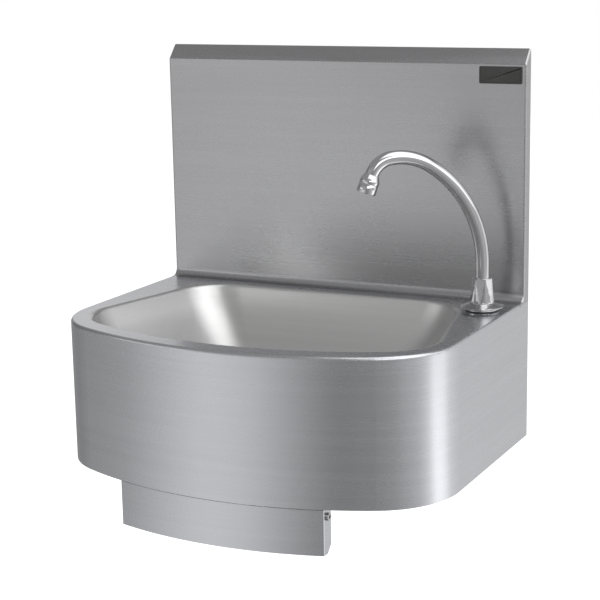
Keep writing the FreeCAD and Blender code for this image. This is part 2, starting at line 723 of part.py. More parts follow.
def make_waste():
    y = "-waste_setback"
    bed = FLOOR + " + waste_gasket_sheet"
    node("waste_gasket", ring("waste_gasket_ring", "strainer_width / 2 - gasket_inset",
                              "strainer_neck / 2 + strainer_play", "waste_gasket_sheet", y=y, z=FLOOR))
    flange = rod("strainer_flange", "strainer_width / 2", "strainer_sheet", y=y, z=bed)
    neck = rod("strainer_neck_outer", "strainer_neck / 2", "strainer_reach", y=y, z=bed + " - strainer_reach")
    well = rod("strainer_well", "strainer_neck / 2 - strainer_wall", "strainer_reach",
               y=y, z=bed + " - strainer_reach")
    drains = []
    for index in range(8):
        turn = 2 * math.pi * index / 8
        drains.append(rod("strainer_drain_%d" % index, "strainer_hole / 2", "4 * strainer_sheet",
                          "strainer_ring * %.9f" % math.cos(turn),
                          "strainer_ring * %.9f - waste_setback" % math.sin(turn), bed + " - strainer_sheet"))
    centre = rod("strainer_centre", "waste_screw_radius + waste_screw_play", "4 * strainer_sheet",
                 y=y, z=bed + " - strainer_sheet")
    node("waste_strainer",
         without("strainer_cut", joined("strainer_solid", flange, neck), well, centre, *drains))

    under = FLOOR + " - bowl_sheet"
    node("waste_seal", ring("waste_seal_ring", "waste_cup_width / 2", "waste_bore / 2", "waste_seal_sheet",
                            y=y, z=under + " - waste_seal_sheet"))
    top = under + " - waste_seal_sheet"
    cup_foot = top + " - waste_cup_depth"
    tail_top = cup_foot + " - waste_taper"
    tail_foot = tail_top + " - waste_tail_length"
    cup = rod("waste_cup", "waste_bore / 2 + waste_wall", "waste_cup_depth", y=y, z=cup_foot)
    rim = rod("waste_rim", "waste_cup_width / 2", "waste_wall", y=y, z=top + " - waste_wall")
    taper = cone("waste_cone", "waste_tail_radius", "waste_bore / 2 + waste_wall", "waste_taper", y=y,
                 z=tail_top)
    tail = rod("waste_tail", "waste_tail_radius", "waste_tail_length", y=y, z=tail_foot)
    inside = rod("waste_cup_bore", "waste_bore / 2", "waste_cup_depth", y=y, z=cup_foot)
    inside_cone = cone("waste_cone_bore", "waste_tail_radius - waste_wall", "waste_bore / 2", "waste_taper",
                       y=y, z=tail_top)
    inside_tail = rod("waste_tail_bore", "waste_tail_radius - waste_wall", "waste_tail_length", y=y,
                      z=tail_foot)
    shell = without("waste_shell", joined("waste_outer", cup, rim, taper, tail), inside, inside_cone,
                    inside_tail)
    bar = block("waste_bridge", ("-waste_bore / 2 - waste_wall / 2", "waste_bore / 2 + waste_wall / 2"),
                ("-waste_setback - waste_bar / 2", "-waste_setback + waste_bar / 2"),
                (cup_foot, cup_foot + " + waste_bar"))
    thread = rod("waste_bridge_bore", "waste_screw_radius + thread_gap", "waste_bar", y=y, z=cup_foot)
    node("waste_body", without("waste_body_cut", joined("waste_bridged", shell, bar), thread))

    head_top = bed + " + strainer_sheet"
    shank = rod("waste_screw_shank", "waste_screw_radius", "%s - (%s)" % (head_top, cup_foot), y=y,
                z=cup_foot)
    head = cone("waste_screw_head", "waste_screw_radius + 1", "2 * waste_screw_radius", "2", y=y, z=head_top)
    slot = block("waste_screw_slot", ("-2 * waste_screw_radius", "2 * waste_screw_radius"),
                 ("-waste_setback - 0.8", "-waste_setback + 0.8"), (head_top + " + 1", head_top + " + 2"))
    node("waste_screw", without("waste_screw_cut", joined("waste_screw_solid", shank, head), slot))


# ---------------------------------------------------------------- tap body

TAP = {"x": TAP_X, "y": "-tap_setback"}


def at_tap(level):
    return dict(TAP, z="deck_level + (%s)" % level)


def tap_spot(level):
    """Point on the tap's axis at a height above the deck."""
    return VECTOR(size("width") / 2 - size("tap_inset"), -size("tap_setback"), size("deck_level") + level)


def make_tap_mount():
    node("tap_gasket", ring("tap_gasket_ring", "rosette_foot / 2 - 1", "shank_radius + shank_clearance",
                            "tap_gasket_sheet", **at_tap("0")))
    foot = rod("rosette_foot_disc", "rosette_foot / 2", "2", **at_tap("tap_gasket_sheet"))
    flare = cone("rosette_flare", "rosette_foot / 2", "rosette_width / 2", "1.2",
                 **at_tap("tap_gasket_sheet + 2"))
    band = rod("rosette_band", "rosette_width / 2", "1", **at_tap("tap_gasket_sheet + 3.2"))
    slope = cone("rosette_slope", "rosette_width / 2", "bell_foot / 2 + 1",
                 "rosette_height - tap_gasket_sheet - 4.2",
                 **at_tap("tap_gasket_sheet + 4.2"))
    bore = rod("rosette_bore", "shank_radius + shank_clearance", "rosette_height",
               **at_tap("tap_gasket_sheet"))
    node("tap_rosette", without("rosette_cut", joined("rosette_solid", foot, flare, band, slope), bore))
    under = "-sheet - tap_washer_sheet"
    node("tap_washer", ring("tap_washer_ring", "rosette_foot / 2 - 2", "shank_radius + shank_clearance",
                            "tap_washer_sheet", **at_tap(under)))
    node("tap_backnut", nut("tap_backnut_hex", "backnut_flats", "shank_radius + thread_gap", "backnut_height",
                            **at_tap(under + " - backnut_height")))


def hexagon_wire(apothem, level):
    corners = []
    for index in range(7):
        turn = math.radians(60 * index + 30)
        corners.append(VECTOR(apothem * CORNER * math.cos(turn), apothem * CORNER * math.sin(turn), level))
    return Part.makePolygon(corners)


TAIL_FOOT = "rosette_height + chamber_floor"  # deck to the underside of the spout tail's chamber


def make_tap_body():
    """Flared hexagon: six sloping flats, each a full edge of the hexagon at the top and
    running out on the round foot."""
    flats = Part.makeLoft([hexagon_wire(size("bell_foot") / 2, 0),
                           hexagon_wire(size("bell_flats") / 2, size("bell_height"))], True, True)
    base = tap_spot(size("rosette_height"))
    faces = shaped("tap_bell_flats", flats, FreeCAD.Placement(base, FreeCAD.Rotation(VECTOR(0, 0, 1), -20)))
    round_body = cone("tap_bell_cone", "bell_foot / 2", "bell_flats / 2 * %.12f" % CORNER, "bell_height",
                      **at_tap("rosette_height"))
    bell = shared("tap_bell", round_body, faces)
    shank = rod("tap_shank", "shank_radius", "shank_reach + rosette_height + 1", **at_tap("-shank_reach"))
    waterway = rod("tap_waterway", "shank_bore", "shank_reach + rosette_height + 10",
                   **at_tap("-shank_reach"))
    chamber = rod("tap_chamber", "tail_radius + swivel_gap", "bell_height", **at_tap(TAIL_FOOT))
    grub_hole = rod("tap_grub_hole", "grub_radius + thread_gap", "bell_foot",
                    **dict(at_tap(GRUB_LEVEL), along="y"))
    node("tap_body",
         without("tap_body_cut", joined("tap_body_solid", bell, shank), waterway, chamber, grub_hole))
    screw = rod("grub_shank", "grub_radius", "4.2",
                x=TAP_X, y="tail_radius - 0.9 - tap_setback", z="deck_level + " + GRUB_LEVEL, along="y")
    socket = rod("grub_socket", "1", "2", x=TAP_X, y="tail_radius + 2.3 - tap_setback",
                 z="deck_level + " + GRUB_LEVEL, along="y")
    node("spout_grub_screw", without("grub_cut", screw, socket))


GRUB_LEVEL = "rosette_height + 15"

# ---------------------------------------------------------------- spout


def spout_frame():
    """Local +X is the spout's reach, and the local origin is on the deck at the tap's axis."""
    return FreeCAD.Placement(tap_spot(0), FreeCAD.Rotation(VECTOR(0, 0, 1), -90 - size("spout_swing")))


def spout_bends():
    """Start, middle and end of each bend, and the tip's heading in degrees from upright."""
    point = VECTOR(0, 0, size("spout_rise"))
    heading = 0.0
    bends = []
    for name in ("rise", "crown", "tip"):
        radius = size(name + "_bend")
        turn = math.radians(size(name + "_turn"))
        spots = [point]
        for angle in (heading + turn / 2, heading + turn):
            across = radius * (math.cos(heading) - math.cos(angle))
            up = radius * (math.sin(angle) - math.sin(heading))
            spots.append(point + VECTOR(across, 0, up))
        bends.append(spots)
        point = spots[-1]
        heading += turn
    return bends, math.degrees(heading)


def tip_frame():
    """Local +Z runs out of the spout tube's end."""
    bends, heading = spout_bends()
    lean = FreeCAD.Rotation(VECTOR(0, 1, 0), heading)
    return spout_frame().multiply(FreeCAD.Placement(bends[-1][-1], lean))


def set_at(thing, frame):
    thing.Placement = frame
    return thing


def swept(path, radius):
    """A round bar along a path that starts upwards."""
    start = path.OrderedVertexes[0].Point
    profile = Part.Wire([Part.Circle(start, VECTOR(0, 0, 1), radius).toShape()])
    return path.makePipeShell([profile], True, True)


def spout_path():
    """Straight rise and three bends that run into each other, in the spout's own frame."""
    foot = size("rosette_height") + size("chamber_floor") + size("tail_float") + size("tail_length")
    bends, _ = spout_bends()
    rise = Part.LineSegment(VECTOR(0, 0, foot), bends[0][0])
    return Part.Wire([rise.toShape()] + [Part.Arc(*spots).toShape() for spots in bends])


def make_spout():
    frame = spout_frame()
    path = spout_path()
    outer = size("spout_radius")
    inner = outer - size("spout_wall")
    shape = swept(path, outer).cut(swept(path, inner))
    print("spout: length %.1f mm, volume %.1f against %.1f mm3"
          % (path.Length, shape.Volume, math.pi * (outer ** 2 - inner ** 2) * path.Length))
    node("spout_tube", shaped("spout_pipe", shape, frame))

    foot = TAIL_FOOT + " + tail_float"
    sleeve = rod("tail_sleeve", "tail_radius", "tail_length", z=foot)
    spigot = rod("tail_spigot", "spout_radius - spout_wall", "spigot_length", z=foot + " + tail_length")
    bore = rod("tail_bore", "shank_bore - 0.3", "tail_length + spigot_length", z=foot)
    groove_floor = "tail_radius + swivel_gap - ring_gap - 2 * ring_wire"
    grooves = [
        ring("tail_groove_%d" % index, "tail_radius + 1", groove_floor, "2 * ring_wire + 0.4",
             z="%s + %s - ring_wire - 0.2" % (foot, level))
        for index, level in enumerate(RING_LEVELS)
    ]
    keeper = ring("tail_keeper", "tail_radius + 1", "tail_radius - 1.3", "2 * grub_radius + 1",
                  z=GRUB_LEVEL + " - grub_radius - 0.5")
    tail = without("spout_tail_cut", joined("spout_tail_solid", sleeve, spigot), bore, keeper, *grooves)
    node("spout_tail", set_at(tail, frame))

    rings = []
    for index, level in enumerate(RING_LEVELS):
        hoop = DOC.addObject("Part::Torus", "spout_ring_%d" % index)
        bind(hoop, Radius1="tail_radius + swivel_gap - ring_gap - ring_wire", Radius2="ring_wire")
        place(hoop, z="%s + %s" % (foot, level))
        rings.append(hoop)
    node("spout_o_rings", set_at(together("spout_rings", *rings), frame))


RING_LEVELS = ("3.2", "17")


def make_aerator():
    frame = tip_frame()
    shoulder = cone("aerator_shoulder", "spout_radius + 0.8", "aerator_radius", "aerator_cone")
    barrel = rod("aerator_barrel", "aerator_radius", "aerator_length - aerator_cone", z="aerator_cone")
    neck = rod("aerator_neck", "spout_radius - spout_wall", "aerator_cone")
    seat = rod("aerator_seat", "aerator_radius - aerator_wall", "aerator_length - aerator_cone - 1.2",
               z="aerator_cone")
    mouth = rod("aerator_mouth", "aerator_lip", "aerator_length", z="aerator_cone")
    node("aerator_housing", set_at(without("aerator_cut", joined("aerator_solid", shoulder, barrel),
                                           neck, seat, mouth), frame))
    fit = "aerator_radius - aerator_wall"
    seal = ring("aerator_seal_ring", fit, "aerator_radius - aerator_wall - 3", "1.5", z="aerator_cone")
    node("aerator_seal", set_at(seal, frame))
    core = rod("aerator_core", fit, "aerator_length - aerator_cone - 2.7", z="aerator_cone + 1.5")
    slots = []
    for index in range(6):
        turn = 2 * math.pi * index / 6
        slots.append(rod("aerator_slot_%d" % index, "1.6", "aerator_length", "5 * %.9f" % math.cos(turn),
                         "5 * %.9f" % math.sin(turn), "aerator_cone"))
    eye = rod("aerator_eye", "1.6", "aerator_length", z="aerator_cone")
    node("aerator_insert", set_at(without("aerator_insert_cut", core, eye, *slots), frame))


# ---------------------------------------------------------------- knee panel and hinges

PIVOT_Z = APRON_BOTTOM + " - pivot_drop"
PANEL_TOP = APRON_BOTTOM + " - panel_gap"
EAR_FACE = "panel_half - sheet - side_play - bush_collar_length"  # outer face of the hinge ear


def curve_y(radius, across):
    """Y of a point on an arc about the apron's front centre."""
    return "front_radius - depth - sqrt((%s) ^ 2 - (%s) ^ 2)" % (radius, across)


PIVOT_Y = curve_y("front_radius - panel_setback", "panel_half") + " + pivot_setback"


def panel_disc(name, radius):
    return rod(name, radius, "panel_height", y="front_radius - depth", z=PANEL_TOP + " - panel_height")


def make_knee_panel():
    body = DOC.addObject("PartDesign::Body", "knee_panel_body")
    outer = "front_radius - panel_setback"
    flange_end = "panel_flange + " + curve_y(outer, "panel_half")
    profile = sketch(body, "panel_profile", "XY_Plane", PANEL_TOP + " - panel_height")
    curved_outline(profile, "panel_half", outer, flange_end)
    solid = pad(body, "panel_pad", profile, "panel_height")
    half = size("panel_half")
    top = size("deck_level") - size("apron_height") - size("panel_gap")
    foot = top - size("panel_height")
    rear = solid.Shape.BoundBox.YMax
    solid = dress(body, "Fillet", "panel_bends", solid, "Radius", "panel_bend",
                  lambda middle, box: near(abs(middle.x), half) and box.ZLength > 10 and middle.y < rear - 5)
    inner = sketch(body, "panel_hollow_profile", "XY_Plane", PANEL_TOP + " - panel_height - 1")
    curved_outline(inner, "panel_half - sheet", outer + " - sheet", flange_end + " + 5")
    solid = pocket(body, "panel_hollow", inner, "panel_height + 2", forward=True)
    solid = dress(body, "Chamfer", "panel_corners", solid, "Size", "flange_corner",
                  lambda middle, box: near(middle.y, rear) and near(middle.z, foot))
    solid = dress(body, "Chamfer", "panel_crowns", solid, "Size", "flange_crown",
                  lambda middle, box: near(middle.y, rear) and near(middle.z, top))
    holes = rod("panel_pivot_hole", "bush_radius + bush_gap", "4 * panel_half", "-2 * panel_half",
                PIVOT_Y, PIVOT_Z, "x")
    node("knee_panel", without("knee_panel_cut", body, holes))

    face = PIVOT_Y + " - buffer_face"
    stud = rod("buffer_stud", "buffer_radius", "3 * pivot_setback", "valve_side",
               face + " - 3 * pivot_setback",
               "%s - valve_drop" % APRON_BOTTOM, "y")
    node("panel_buffer", shared("panel_buffer_trim", stud, panel_disc("buffer_disc", outer + " - sheet")))


def curved_outline(thing, half, radius, rear):
    """A closed outline with an arc in front, straight sides and a straight rear edge."""
    centre = VECTOR(0, size("front_radius") - size("depth"), 0)
    guess_half = size("panel_half")
    guess_radius = size("front_radius")
    drop = math.asin(guess_half / guess_radius)
    start = -math.pi / 2 - drop
    end = -math.pi / 2 + drop
    left = VECTOR(-guess_half, centre.y - guess_radius * math.cos(drop), 0)
    right = VECTOR(guess_half, left.y, 0)
    lift = VECTOR(0, size("panel_flange"), 0)
    thing.addGeometry(Part.ArcOfCircle(Part.Circle(centre, VECTOR(0, 0, 1), guess_radius), start, end))
    thing.addGeometry(Part.LineSegment(right, right + lift))
    thing.addGeometry(Part.LineSegment(right + lift, left + lift))
    thing.addGeometry(Part.LineSegment(left + lift, left))
    for first in range(4):
        thing.addConstraint(Sketcher.Constraint("Coincident", first, 2, (first + 1) % 4, 1))
    thing.addConstraint(Sketcher.Constraint("Vertical", 1))
    thing.addConstraint(Sketcher.Constraint("Vertical", 3))
    thing.addConstraint(Sketcher.Constraint("Horizontal", 2))
    thing.addConstraint(Sketcher.Constraint("PointOnObject", 0, 3, -2))
    pin_down(thing, "DistanceY", "front_radius - depth", 0, 3, centre.y)
    pin_down(thing, "DistanceX", half, 2, 1, guess_half)
    pin_down(thing, "DistanceX", "-(%s)" % half, 2, 2, -guess_half)
    pin_down(thing, "DistanceY", rear, 2, 1, (right + lift).y)
    index = thing.addConstraint(Sketcher.Constraint("Radius", 0, guess_radius))
    thing.setExpression("Constraints[%d]" % index, rule(radius))
    return thing


def make_hinges():
    tab_x = ("%s - hinge_tab" % EAR_FACE, EAR_FACE)
    ear_y = ("%s - ear_width / 2" % PIVOT_Y, "%s + ear_width / 2" % PIVOT_Y)
    tab = block("hinge_tab_block", tab_x, ear_y, (APRON_BOTTOM + " - bracket_sheet", APRON_BOTTOM))
    ear = block("hinge_ear_block", ("%s - bracket_sheet" % EAR_FACE, EAR_FACE), ear_y,
                (PIVOT_Z, APRON_BOTTOM))
    ear_end = rod("hinge_ear_end", "ear_width / 2", "bracket_sheet", "%s - bracket_sheet" % EAR_FACE,
                  PIVOT_Y, PIVOT_Z, "x")
    hole = rod("hinge_hole", "pivot_screw_radius + thread_gap", "3 * bracket_sheet",
               "%s - 2 * bracket_sheet" % EAR_FACE, PIVOT_Y, PIVOT_Z, "x")
    right = without("hinge_right_cut", joined("hinge_right_solid", tab, ear, ear_end), hole)
    node("hinge_bracket_right", right)
    node("hinge_bracket_left", mirrored("hinge_left_cut", right))

    spot = {"y": PIVOT_Y, "z": PIVOT_Z, "along": "x"}
    collar = rod("bush_collar", "bush_collar_radius", "bush_collar_length", x=EAR_FACE, **spot)
    sleeve_length = "bush_collar_length + sheet + 2 * side_play"
    sleeve = rod("bush_sleeve", "bush_radius", sleeve_length, x=EAR_FACE, **spot)
    bore = rod("bush_bore", "pivot_screw_radius + thread_gap", sleeve_length, x=EAR_FACE, **spot)
    bush = without("bush_cut", joined("bush_solid", collar, sleeve), bore)
    node("pivot_bushes", together("pivot_bush_pair", bush, mirrored("bush_left", bush)))

    head_foot = "%s + %s" % (EAR_FACE, sleeve_length)
    head = rod("pivot_head", "pivot_head_radius", "pivot_head_length", x=head_foot, **spot)
    shank_start = "%s - bracket_sheet - pivot_nut_length - 1" % EAR_FACE
    shank = rod("pivot_shank", "pivot_screw_radius", "%s - (%s)" % (head_foot, shank_start),
                x=shank_start, **spot)
    socket = hexagon("pivot_socket", "4", "pivot_head_length - 0.8", x=head_foot + " + 0.8", **spot)
    screw = without("pivot_screw_cut", joined("pivot_screw_solid", head, shank), socket)
    node("pivot_screws", together("pivot_screw_pair", screw, mirrored("pivot_screw_left", screw)))

    fastener = nut("pivot_nut", "pivot_nut_flats", "pivot_screw_radius + thread_gap", "pivot_nut_length",
                   x="%s - bracket_sheet - pivot_nut_length" % EAR_FACE, **spot)
    node("pivot_nuts", together("pivot_nut_pair", fastener, mirrored("pivot_nut_left", fastener)))


# ---------------------------------------------------------------- valve

VALVE_Z = APRON_BOTTOM + " - valve_drop"
PLATE_Y = "(depth - plate_setback)"  # wall to the rear face of the valve bracket's plate
PORT_Y = "port_setback - " + PLATE_Y
BRACKET_SCREWS = ("valve_side - small_screw_spacing / 2", "valve_side + small_screw_spacing / 2")


def on_valve(start):
    """Along the valve's axis, from a distance behind the bracket plate's rear face."""
    return {"x": "valve_side", "y": "(%s) - %s" % (start, PLATE_Y), "z": VALVE_Z, "along": "y"}


def make_valve_bracket():
    x = ("valve_side - bracket_width / 2", "valve_side + bracket_width / 2")
    plate_y = ("-%s - bracket_sheet" % PLATE_Y, "-" + PLATE_Y)
    plate = block("bracket_plate", x, plate_y, (VALVE_Z + " - bracket_drop", APRON_BOTTOM))
    tab = block("bracket_tab", x, ("-%s - bracket_reach" % PLATE_Y, "-" + PLATE_Y),
                (APRON_BOTTOM + " - bracket_sheet", APRON_BOTTOM))
    hole = rod("bracket_hole", "bonnet_radius + hole_clearance", "3 * bracket_sheet",
               **on_valve("-2 * bracket_sheet"))
    screw_y = "small_screw_setback - depth"
    holes = [
        rod("bracket_hole_%d" % index, "small_screw_radius + hole_clearance", "3 * bracket_sheet", spot,
            screw_y,
            APRON_BOTTOM + " - 2 * bracket_sheet")
        for index, spot in enumerate(BRACKET_SCREWS)
    ]
    node("valve_bracket", without("bracket_cut", joined("bracket_solid", plate, tab), hole, *holes))
    screws = []
    nuts = []
    under = APRON_BOTTOM + " - bracket_sheet"
    for index, spot in enumerate(BRACKET_SCREWS):
        head = rod("small_head_%d" % index, "small_head_radius", "small_head_length", spot, screw_y,
                   under + " - small_head_length")
        shank = rod("small_shank_%d" % index, "small_screw_radius", "small_screw_length", spot, screw_y,
                    under)
        screws.append(joined("small_screw_%d" % index, head, shank))
        nuts.append(nut("small_nut_%d" % index, "small_nut_flats", "small_screw_radius + thread_gap",
                        "small_nut_length", spot, screw_y, APRON_BOTTOM + " + sheet"))
    node("bracket_screws", together("small_screws", *screws))
    node("bracket_nuts", together("small_nuts", *nuts))


def make_valve():
    outer = rod("valve_outer", "valve_radius", "valve_length", **on_valve("0"))
    port = rod("valve_port", "port_radius", "port_rise", "valve_side", PORT_Y, VALVE_Z)
    front = rod("valve_front_bore", "valve_bore", "seat_position", **on_valve("0"))
    rear = rod("valve_rear_bore", "valve_bore", "valve_length - seat_position - seat_width",
               **on_valve("seat_position + seat_width"))
    seat = rod("valve_seat_bore", "seat_bore", "valve_length", **on_valve("0"))
    port_hole = rod("valve_port_bore", "port_bore", "port_rise", "valve_side", PORT_Y, VALVE_Z)
    node("valve_body",
         without("valve_body_cut", joined("valve_solid", outer, port), front, rear, seat, port_hole))

    node("valve_bonnet", ring("valve_bonnet_ring", "bonnet_radius", "stem_radius + stem_gap",
                              "bonnet_front + bonnet_rear", **on_valve("-bonnet_front")))
    node("valve_locknut",
         nut("valve_locknut_hex", "locknut_flats", "bonnet_radius + thread_gap", "locknut_length",
             **on_valve("-bracket_sheet - locknut_length")))

    # push button: a domed nose whose centre lies behind the pivot axis, a stem and a thin rod
    nose_y = "nose_radius + nose_gap - buffer_face + %s + %s" % (PIVOT_Y, PLATE_Y)
    dome = DOC.addObject("Part::Sphere", "button_dome")
    bind(dome, Radius="nose_radius")
    dome_y = "%s - %s" % (nose_y, PLATE_Y)
    place(dome, "valve_side", dome_y, VALVE_Z)
    dome_front = block("button_dome_keep", ("valve_side - 2 * nose_radius", "valve_side + 2 * nose_radius"),
                       (dome_y + " - 2 * nose_radius", dome_y),
                       (VALVE_Z + " - 2 * nose_radius", VALVE_Z + " + 2 * nose_radius"))
    nose = shared("button_nose", dome, dome_front)
    cap = rod("button_cap", "nose_radius", "6", **on_valve(nose_y))
    stem = rod("button_stem", "stem_radius", "bonnet_rear + 8 - (%s)" % nose_y, **on_valve(nose_y))
    thin = rod("button_rod", "rod_radius", POPPET_REAR + " - bonnet_rear", **on_valve("bonnet_rear"))
    node("valve_button", joined("valve_button_solid", nose, cap, stem, thin))

    seal_front = "seat_position + seat_width + seat_gap"
    node("poppet_seal", ring("poppet_seal_ring", "poppet_radius", "rod_radius + thread_gap", "seal_sheet",
                             **on_valve(seal_front)))
    node("valve_poppet",
         ring("valve_poppet_ring", "poppet_radius", "rod_radius + thread_gap", "poppet_length",
              **on_valve(seal_front + " + seal_sheet")))


POPPET_STACK = ("seat_position", "seat_width", "seat_gap", "seal_sheet", "poppet_length")
POPPET_REAR = " + ".join(POPPET_STACK)


def make_spring():
    """Return spring behind the poppet, one unbroken coil."""
    wire = size("spring_wire")
    radius = size("spring_radius")
    start = sum(size(name) for name in POPPET_STACK)
    length = size("valve_length") - size("block_spigot") - start - wire
    curls = size("spring_curls")
    pitch = length / curls
    helix = Part.makeHelix(pitch, length, radius)
    profile = Part.Wire([Part.Circle(VECTOR(radius, 0, 0), VECTOR(0, 1, 0), wire / 2 - 0.05).toShape()])
    coil = Part.Wire(helix.Edges).makePipeShell([profile], True, True)
    print("spring: least gap between curls %.2f mm" % (pitch - wire))
    spot = VECTOR(size("valve_side"),
                  start + wire / 2 - (size("depth") - size("plate_setback")),
                  size("deck_level") - size("apron_height") - size("valve_drop"))
    frame = FreeCAD.Placement(spot, TURNS["y"])
    node("valve_spring", shaped("valve_spring_coil", coil, frame))


def make_mixing_block():
    x = ("valve_side - block_width / 2", "valve_side + block_width / 2")
    start = "valve_length - " + PLATE_Y
    solid = block("mixing_solid", x, (start, start + " + block_length"),
                  (VALVE_Z + " - block_height / 2", VALVE_Z + " + block_height / 2"))
    spigot = rod("mixing_spigot", "bonnet_radius", "block_spigot + 1",
                 **on_valve("valve_length - block_spigot"))
    gallery = rod("mixing_gallery", "inlet_bore - 1", "inlet_spacing", "valve_side - inlet_spacing / 2",
                  start + " + block_length / 2", VALVE_Z, "x")
    way = rod("mixing_way", "seat_bore - 1.5", "block_spigot + block_length / 2",
              **on_valve("valve_length - block_spigot"))
    nipples = []
    bores = []
    cartridges = []
    for side, sign in (("hot", "-"), ("cold", "+")):
        spot = "valve_side %s inlet_spacing / 2" % sign
        end = start + " + block_length"
        nipples.append(rod("inlet_" + side, "inlet_radius", "inlet_length", spot, end, VALVE_Z, "y"))
        bores.append(rod("inlet_bore_" + side, "inlet_bore", "inlet_length + block_length / 2", spot,
                         end + " - block_length / 2", VALVE_Z, "y"))
        cartridges.append(ring("cartridge_" + side, "inlet_bore - cartridge_gap", "inlet_bore / 2",
                               "cartridge_length", spot, end + " + 1", VALVE_Z, "y"))
    node("mixing_block",
         without("mixing_cut", joined("mixing_outer", solid, spigot, *nipples), gallery, way, *bores))
    node("check_valves", together("check_valve_pair", *cartridges))


# ---------------------------------------------------------------- outlet pipe


def pipe_path(start, corner, far_corner, end, low_bend, high_bend):
    """Straight runs joined by tangent arcs through two corners."""
    def arc(before, point, after, radius):
        back = (before - point).normalize()
        ahead = (after - point).normalize()
        half = math.acos(max(-1.0, min(1.0, back.dot(ahead)))) / 2
        cut = radius / math.tan(half)
        centre = point + (back + ahead).normalize() * (radius / math.sin(half))
        middle = centre + (point - centre).normalize() * radius
        return point + back * cut, middle, point + ahead * cut

    first = arc(start, corner, far_corner, low_bend)
    second = arc(corner, far_corner, end, high_bend)
    print("pipe bends: %.1f and %.1f mm" % (low_bend, high_bend))
    return Part.Wire([
        Part.LineSegment(start, first[0]).toShape(),
        Part.Arc(*first).toShape(),
        Part.LineSegment(first[2], second[0]).toShape(),
        Part.Arc(*second).toShape(),
        Part.LineSegment(second[2], end).toShape(),
    ])


def make_pipe():
    port_x = size("valve_side")
    port_y = size("port_setback") - (size("depth") - size("plate_setback"))
    port_top = size("deck_level") - size("apron_height") - size("valve_drop") + size("port_rise")
    level = port_top + size("pipe_lift")
    start = VECTOR(port_x, port_y, port_top)
    end = tap_spot(-size("shank_reach"))
    path = pipe_path(start, VECTOR(port_x, port_y, level), VECTOR(end.x, end.y, level), end,
                     size("pipe_low_bend"), size("pipe_high_bend"))

    outer = size("pipe_radius")
    bore = size("pipe_bore")
    shape = swept(path, outer).cut(swept(path, bore))
    print("pipe: length %.1f mm, volume %.1f against %.1f mm3"
          % (path.Length, shape.Volume, math.pi * (outer ** 2 - bore ** 2) * path.Length))
    node("outlet_pipe", shaped("outlet_pipe_tube", shape))

    low = {"x": "valve_side", "y": PORT_Y}
    port_end = VALVE_Z + " + port_rise"
    shank_end = "deck_level - shank_reach"
    lower_hex = hexagon("lower_union_hex", "union_flats", "union_length",
                        z=port_end + " - union_length + 2", **low)
    lower_bore = rod("lower_union_bore", "port_radius + thread_gap", "union_length - 2",
                     z=port_end + " - union_length + 2", **low)
    lower_eye = rod("lower_union_eye", "pipe_radius + pipe_clearance", "union_length", z=port_end, **low)
    upper_hex = hexagon("upper_union_hex", "coupling_flats", "union_length", z=shank_end + " - 2", **TAP)
    upper_bore = rod("upper_union_bore", "shank_radius + thread_gap", "union_length", z=shank_end, **TAP)
    upper_eye = rod("upper_union_eye", "pipe_radius + pipe_clearance", "4", z=shank_end + " - 3", **TAP)
    node("union_nuts", together("union_nuts", without("lower_union", lower_hex, lower_bore, lower_eye),
                               without("upper_union", upper_hex, upper_bore, upper_eye)))
    olives = [
        ring("olive_low", "olive_radius", "pipe_radius + olive_gap", "olive_length", z=port_end + " + 2",
             **low),
        ring("olive_high", "olive_radius", "pipe_radius + olive_gap", "3 * olive_length",
             z=shank_end + " - 2 - 3 * olive_length", **TAP),
    ]
    node("pipe_olives", together("pipe_olive_pair", *olives))


# ---------------------------------------------------------------- build and write


def build():
    fill_sheet()
    make_bowl()
    make_casing(shaped("bowl_opening", rim_prism(-3 * size("sheet"), 1)))
    make_splashback()
    make_wall_rail()
    make_badge()
    make_waste()
    make_tap_mount()
    make_tap_body()
    make_spout()
    make_aerator()
    make_knee_panel()
    make_hinges()
    make_valve_bracket()
    make_valve()
    make_spring()
    make_mixing_block()
    make_pipe()
    DOC.recompute()


def check():
    failed = [thing.Name for thing in DOC.Objects if "Invalid" in thing.State or "Error" in thing.State]
    if failed:
        raise RuntimeError("not built: " + ", ".join(failed))
    for thing in NODES:
        if thing.Shape.isNull() or not thing.Shape.isValid() or not thing.Shape.Solids:
            raise RuntimeError("%s has no sound shape" % thing.Label)


def write():
    os.makedirs("parts", exist_ok=True)
    for thing in NODES:
        thing.Shape.exportStep("parts/%s.step" % thing.Label)
    print("%d sub-parts" % len(NODES))


build()
check()
write()
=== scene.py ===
import math

import bpy
from bpy.props import FloatProperty, FloatVectorProperty, PointerProperty
from mathutils import Matrix, Vector


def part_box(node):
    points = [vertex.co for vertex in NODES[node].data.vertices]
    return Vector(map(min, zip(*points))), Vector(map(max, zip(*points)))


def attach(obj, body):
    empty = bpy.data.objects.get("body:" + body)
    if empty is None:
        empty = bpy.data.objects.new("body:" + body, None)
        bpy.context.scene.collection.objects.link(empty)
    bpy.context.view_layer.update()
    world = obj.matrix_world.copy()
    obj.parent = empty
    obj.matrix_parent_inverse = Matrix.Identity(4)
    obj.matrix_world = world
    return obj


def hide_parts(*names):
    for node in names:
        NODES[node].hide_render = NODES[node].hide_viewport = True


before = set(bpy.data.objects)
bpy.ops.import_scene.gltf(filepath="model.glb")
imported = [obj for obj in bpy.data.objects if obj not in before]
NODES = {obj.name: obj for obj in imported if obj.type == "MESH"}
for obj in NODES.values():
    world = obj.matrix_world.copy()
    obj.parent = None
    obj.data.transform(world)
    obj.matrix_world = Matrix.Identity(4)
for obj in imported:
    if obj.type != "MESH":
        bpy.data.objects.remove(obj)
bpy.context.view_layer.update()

bl_info = {
    "name": "Hand Wash Sink",
    "version": (1, 0, 0),
    "blender": (4, 5, 0),
    "location": "View3D > Sidebar > Sink",
    "description": "Dresses a wall-hung steel hand wash sink and sets up its studio",
    "category": "Object",
}

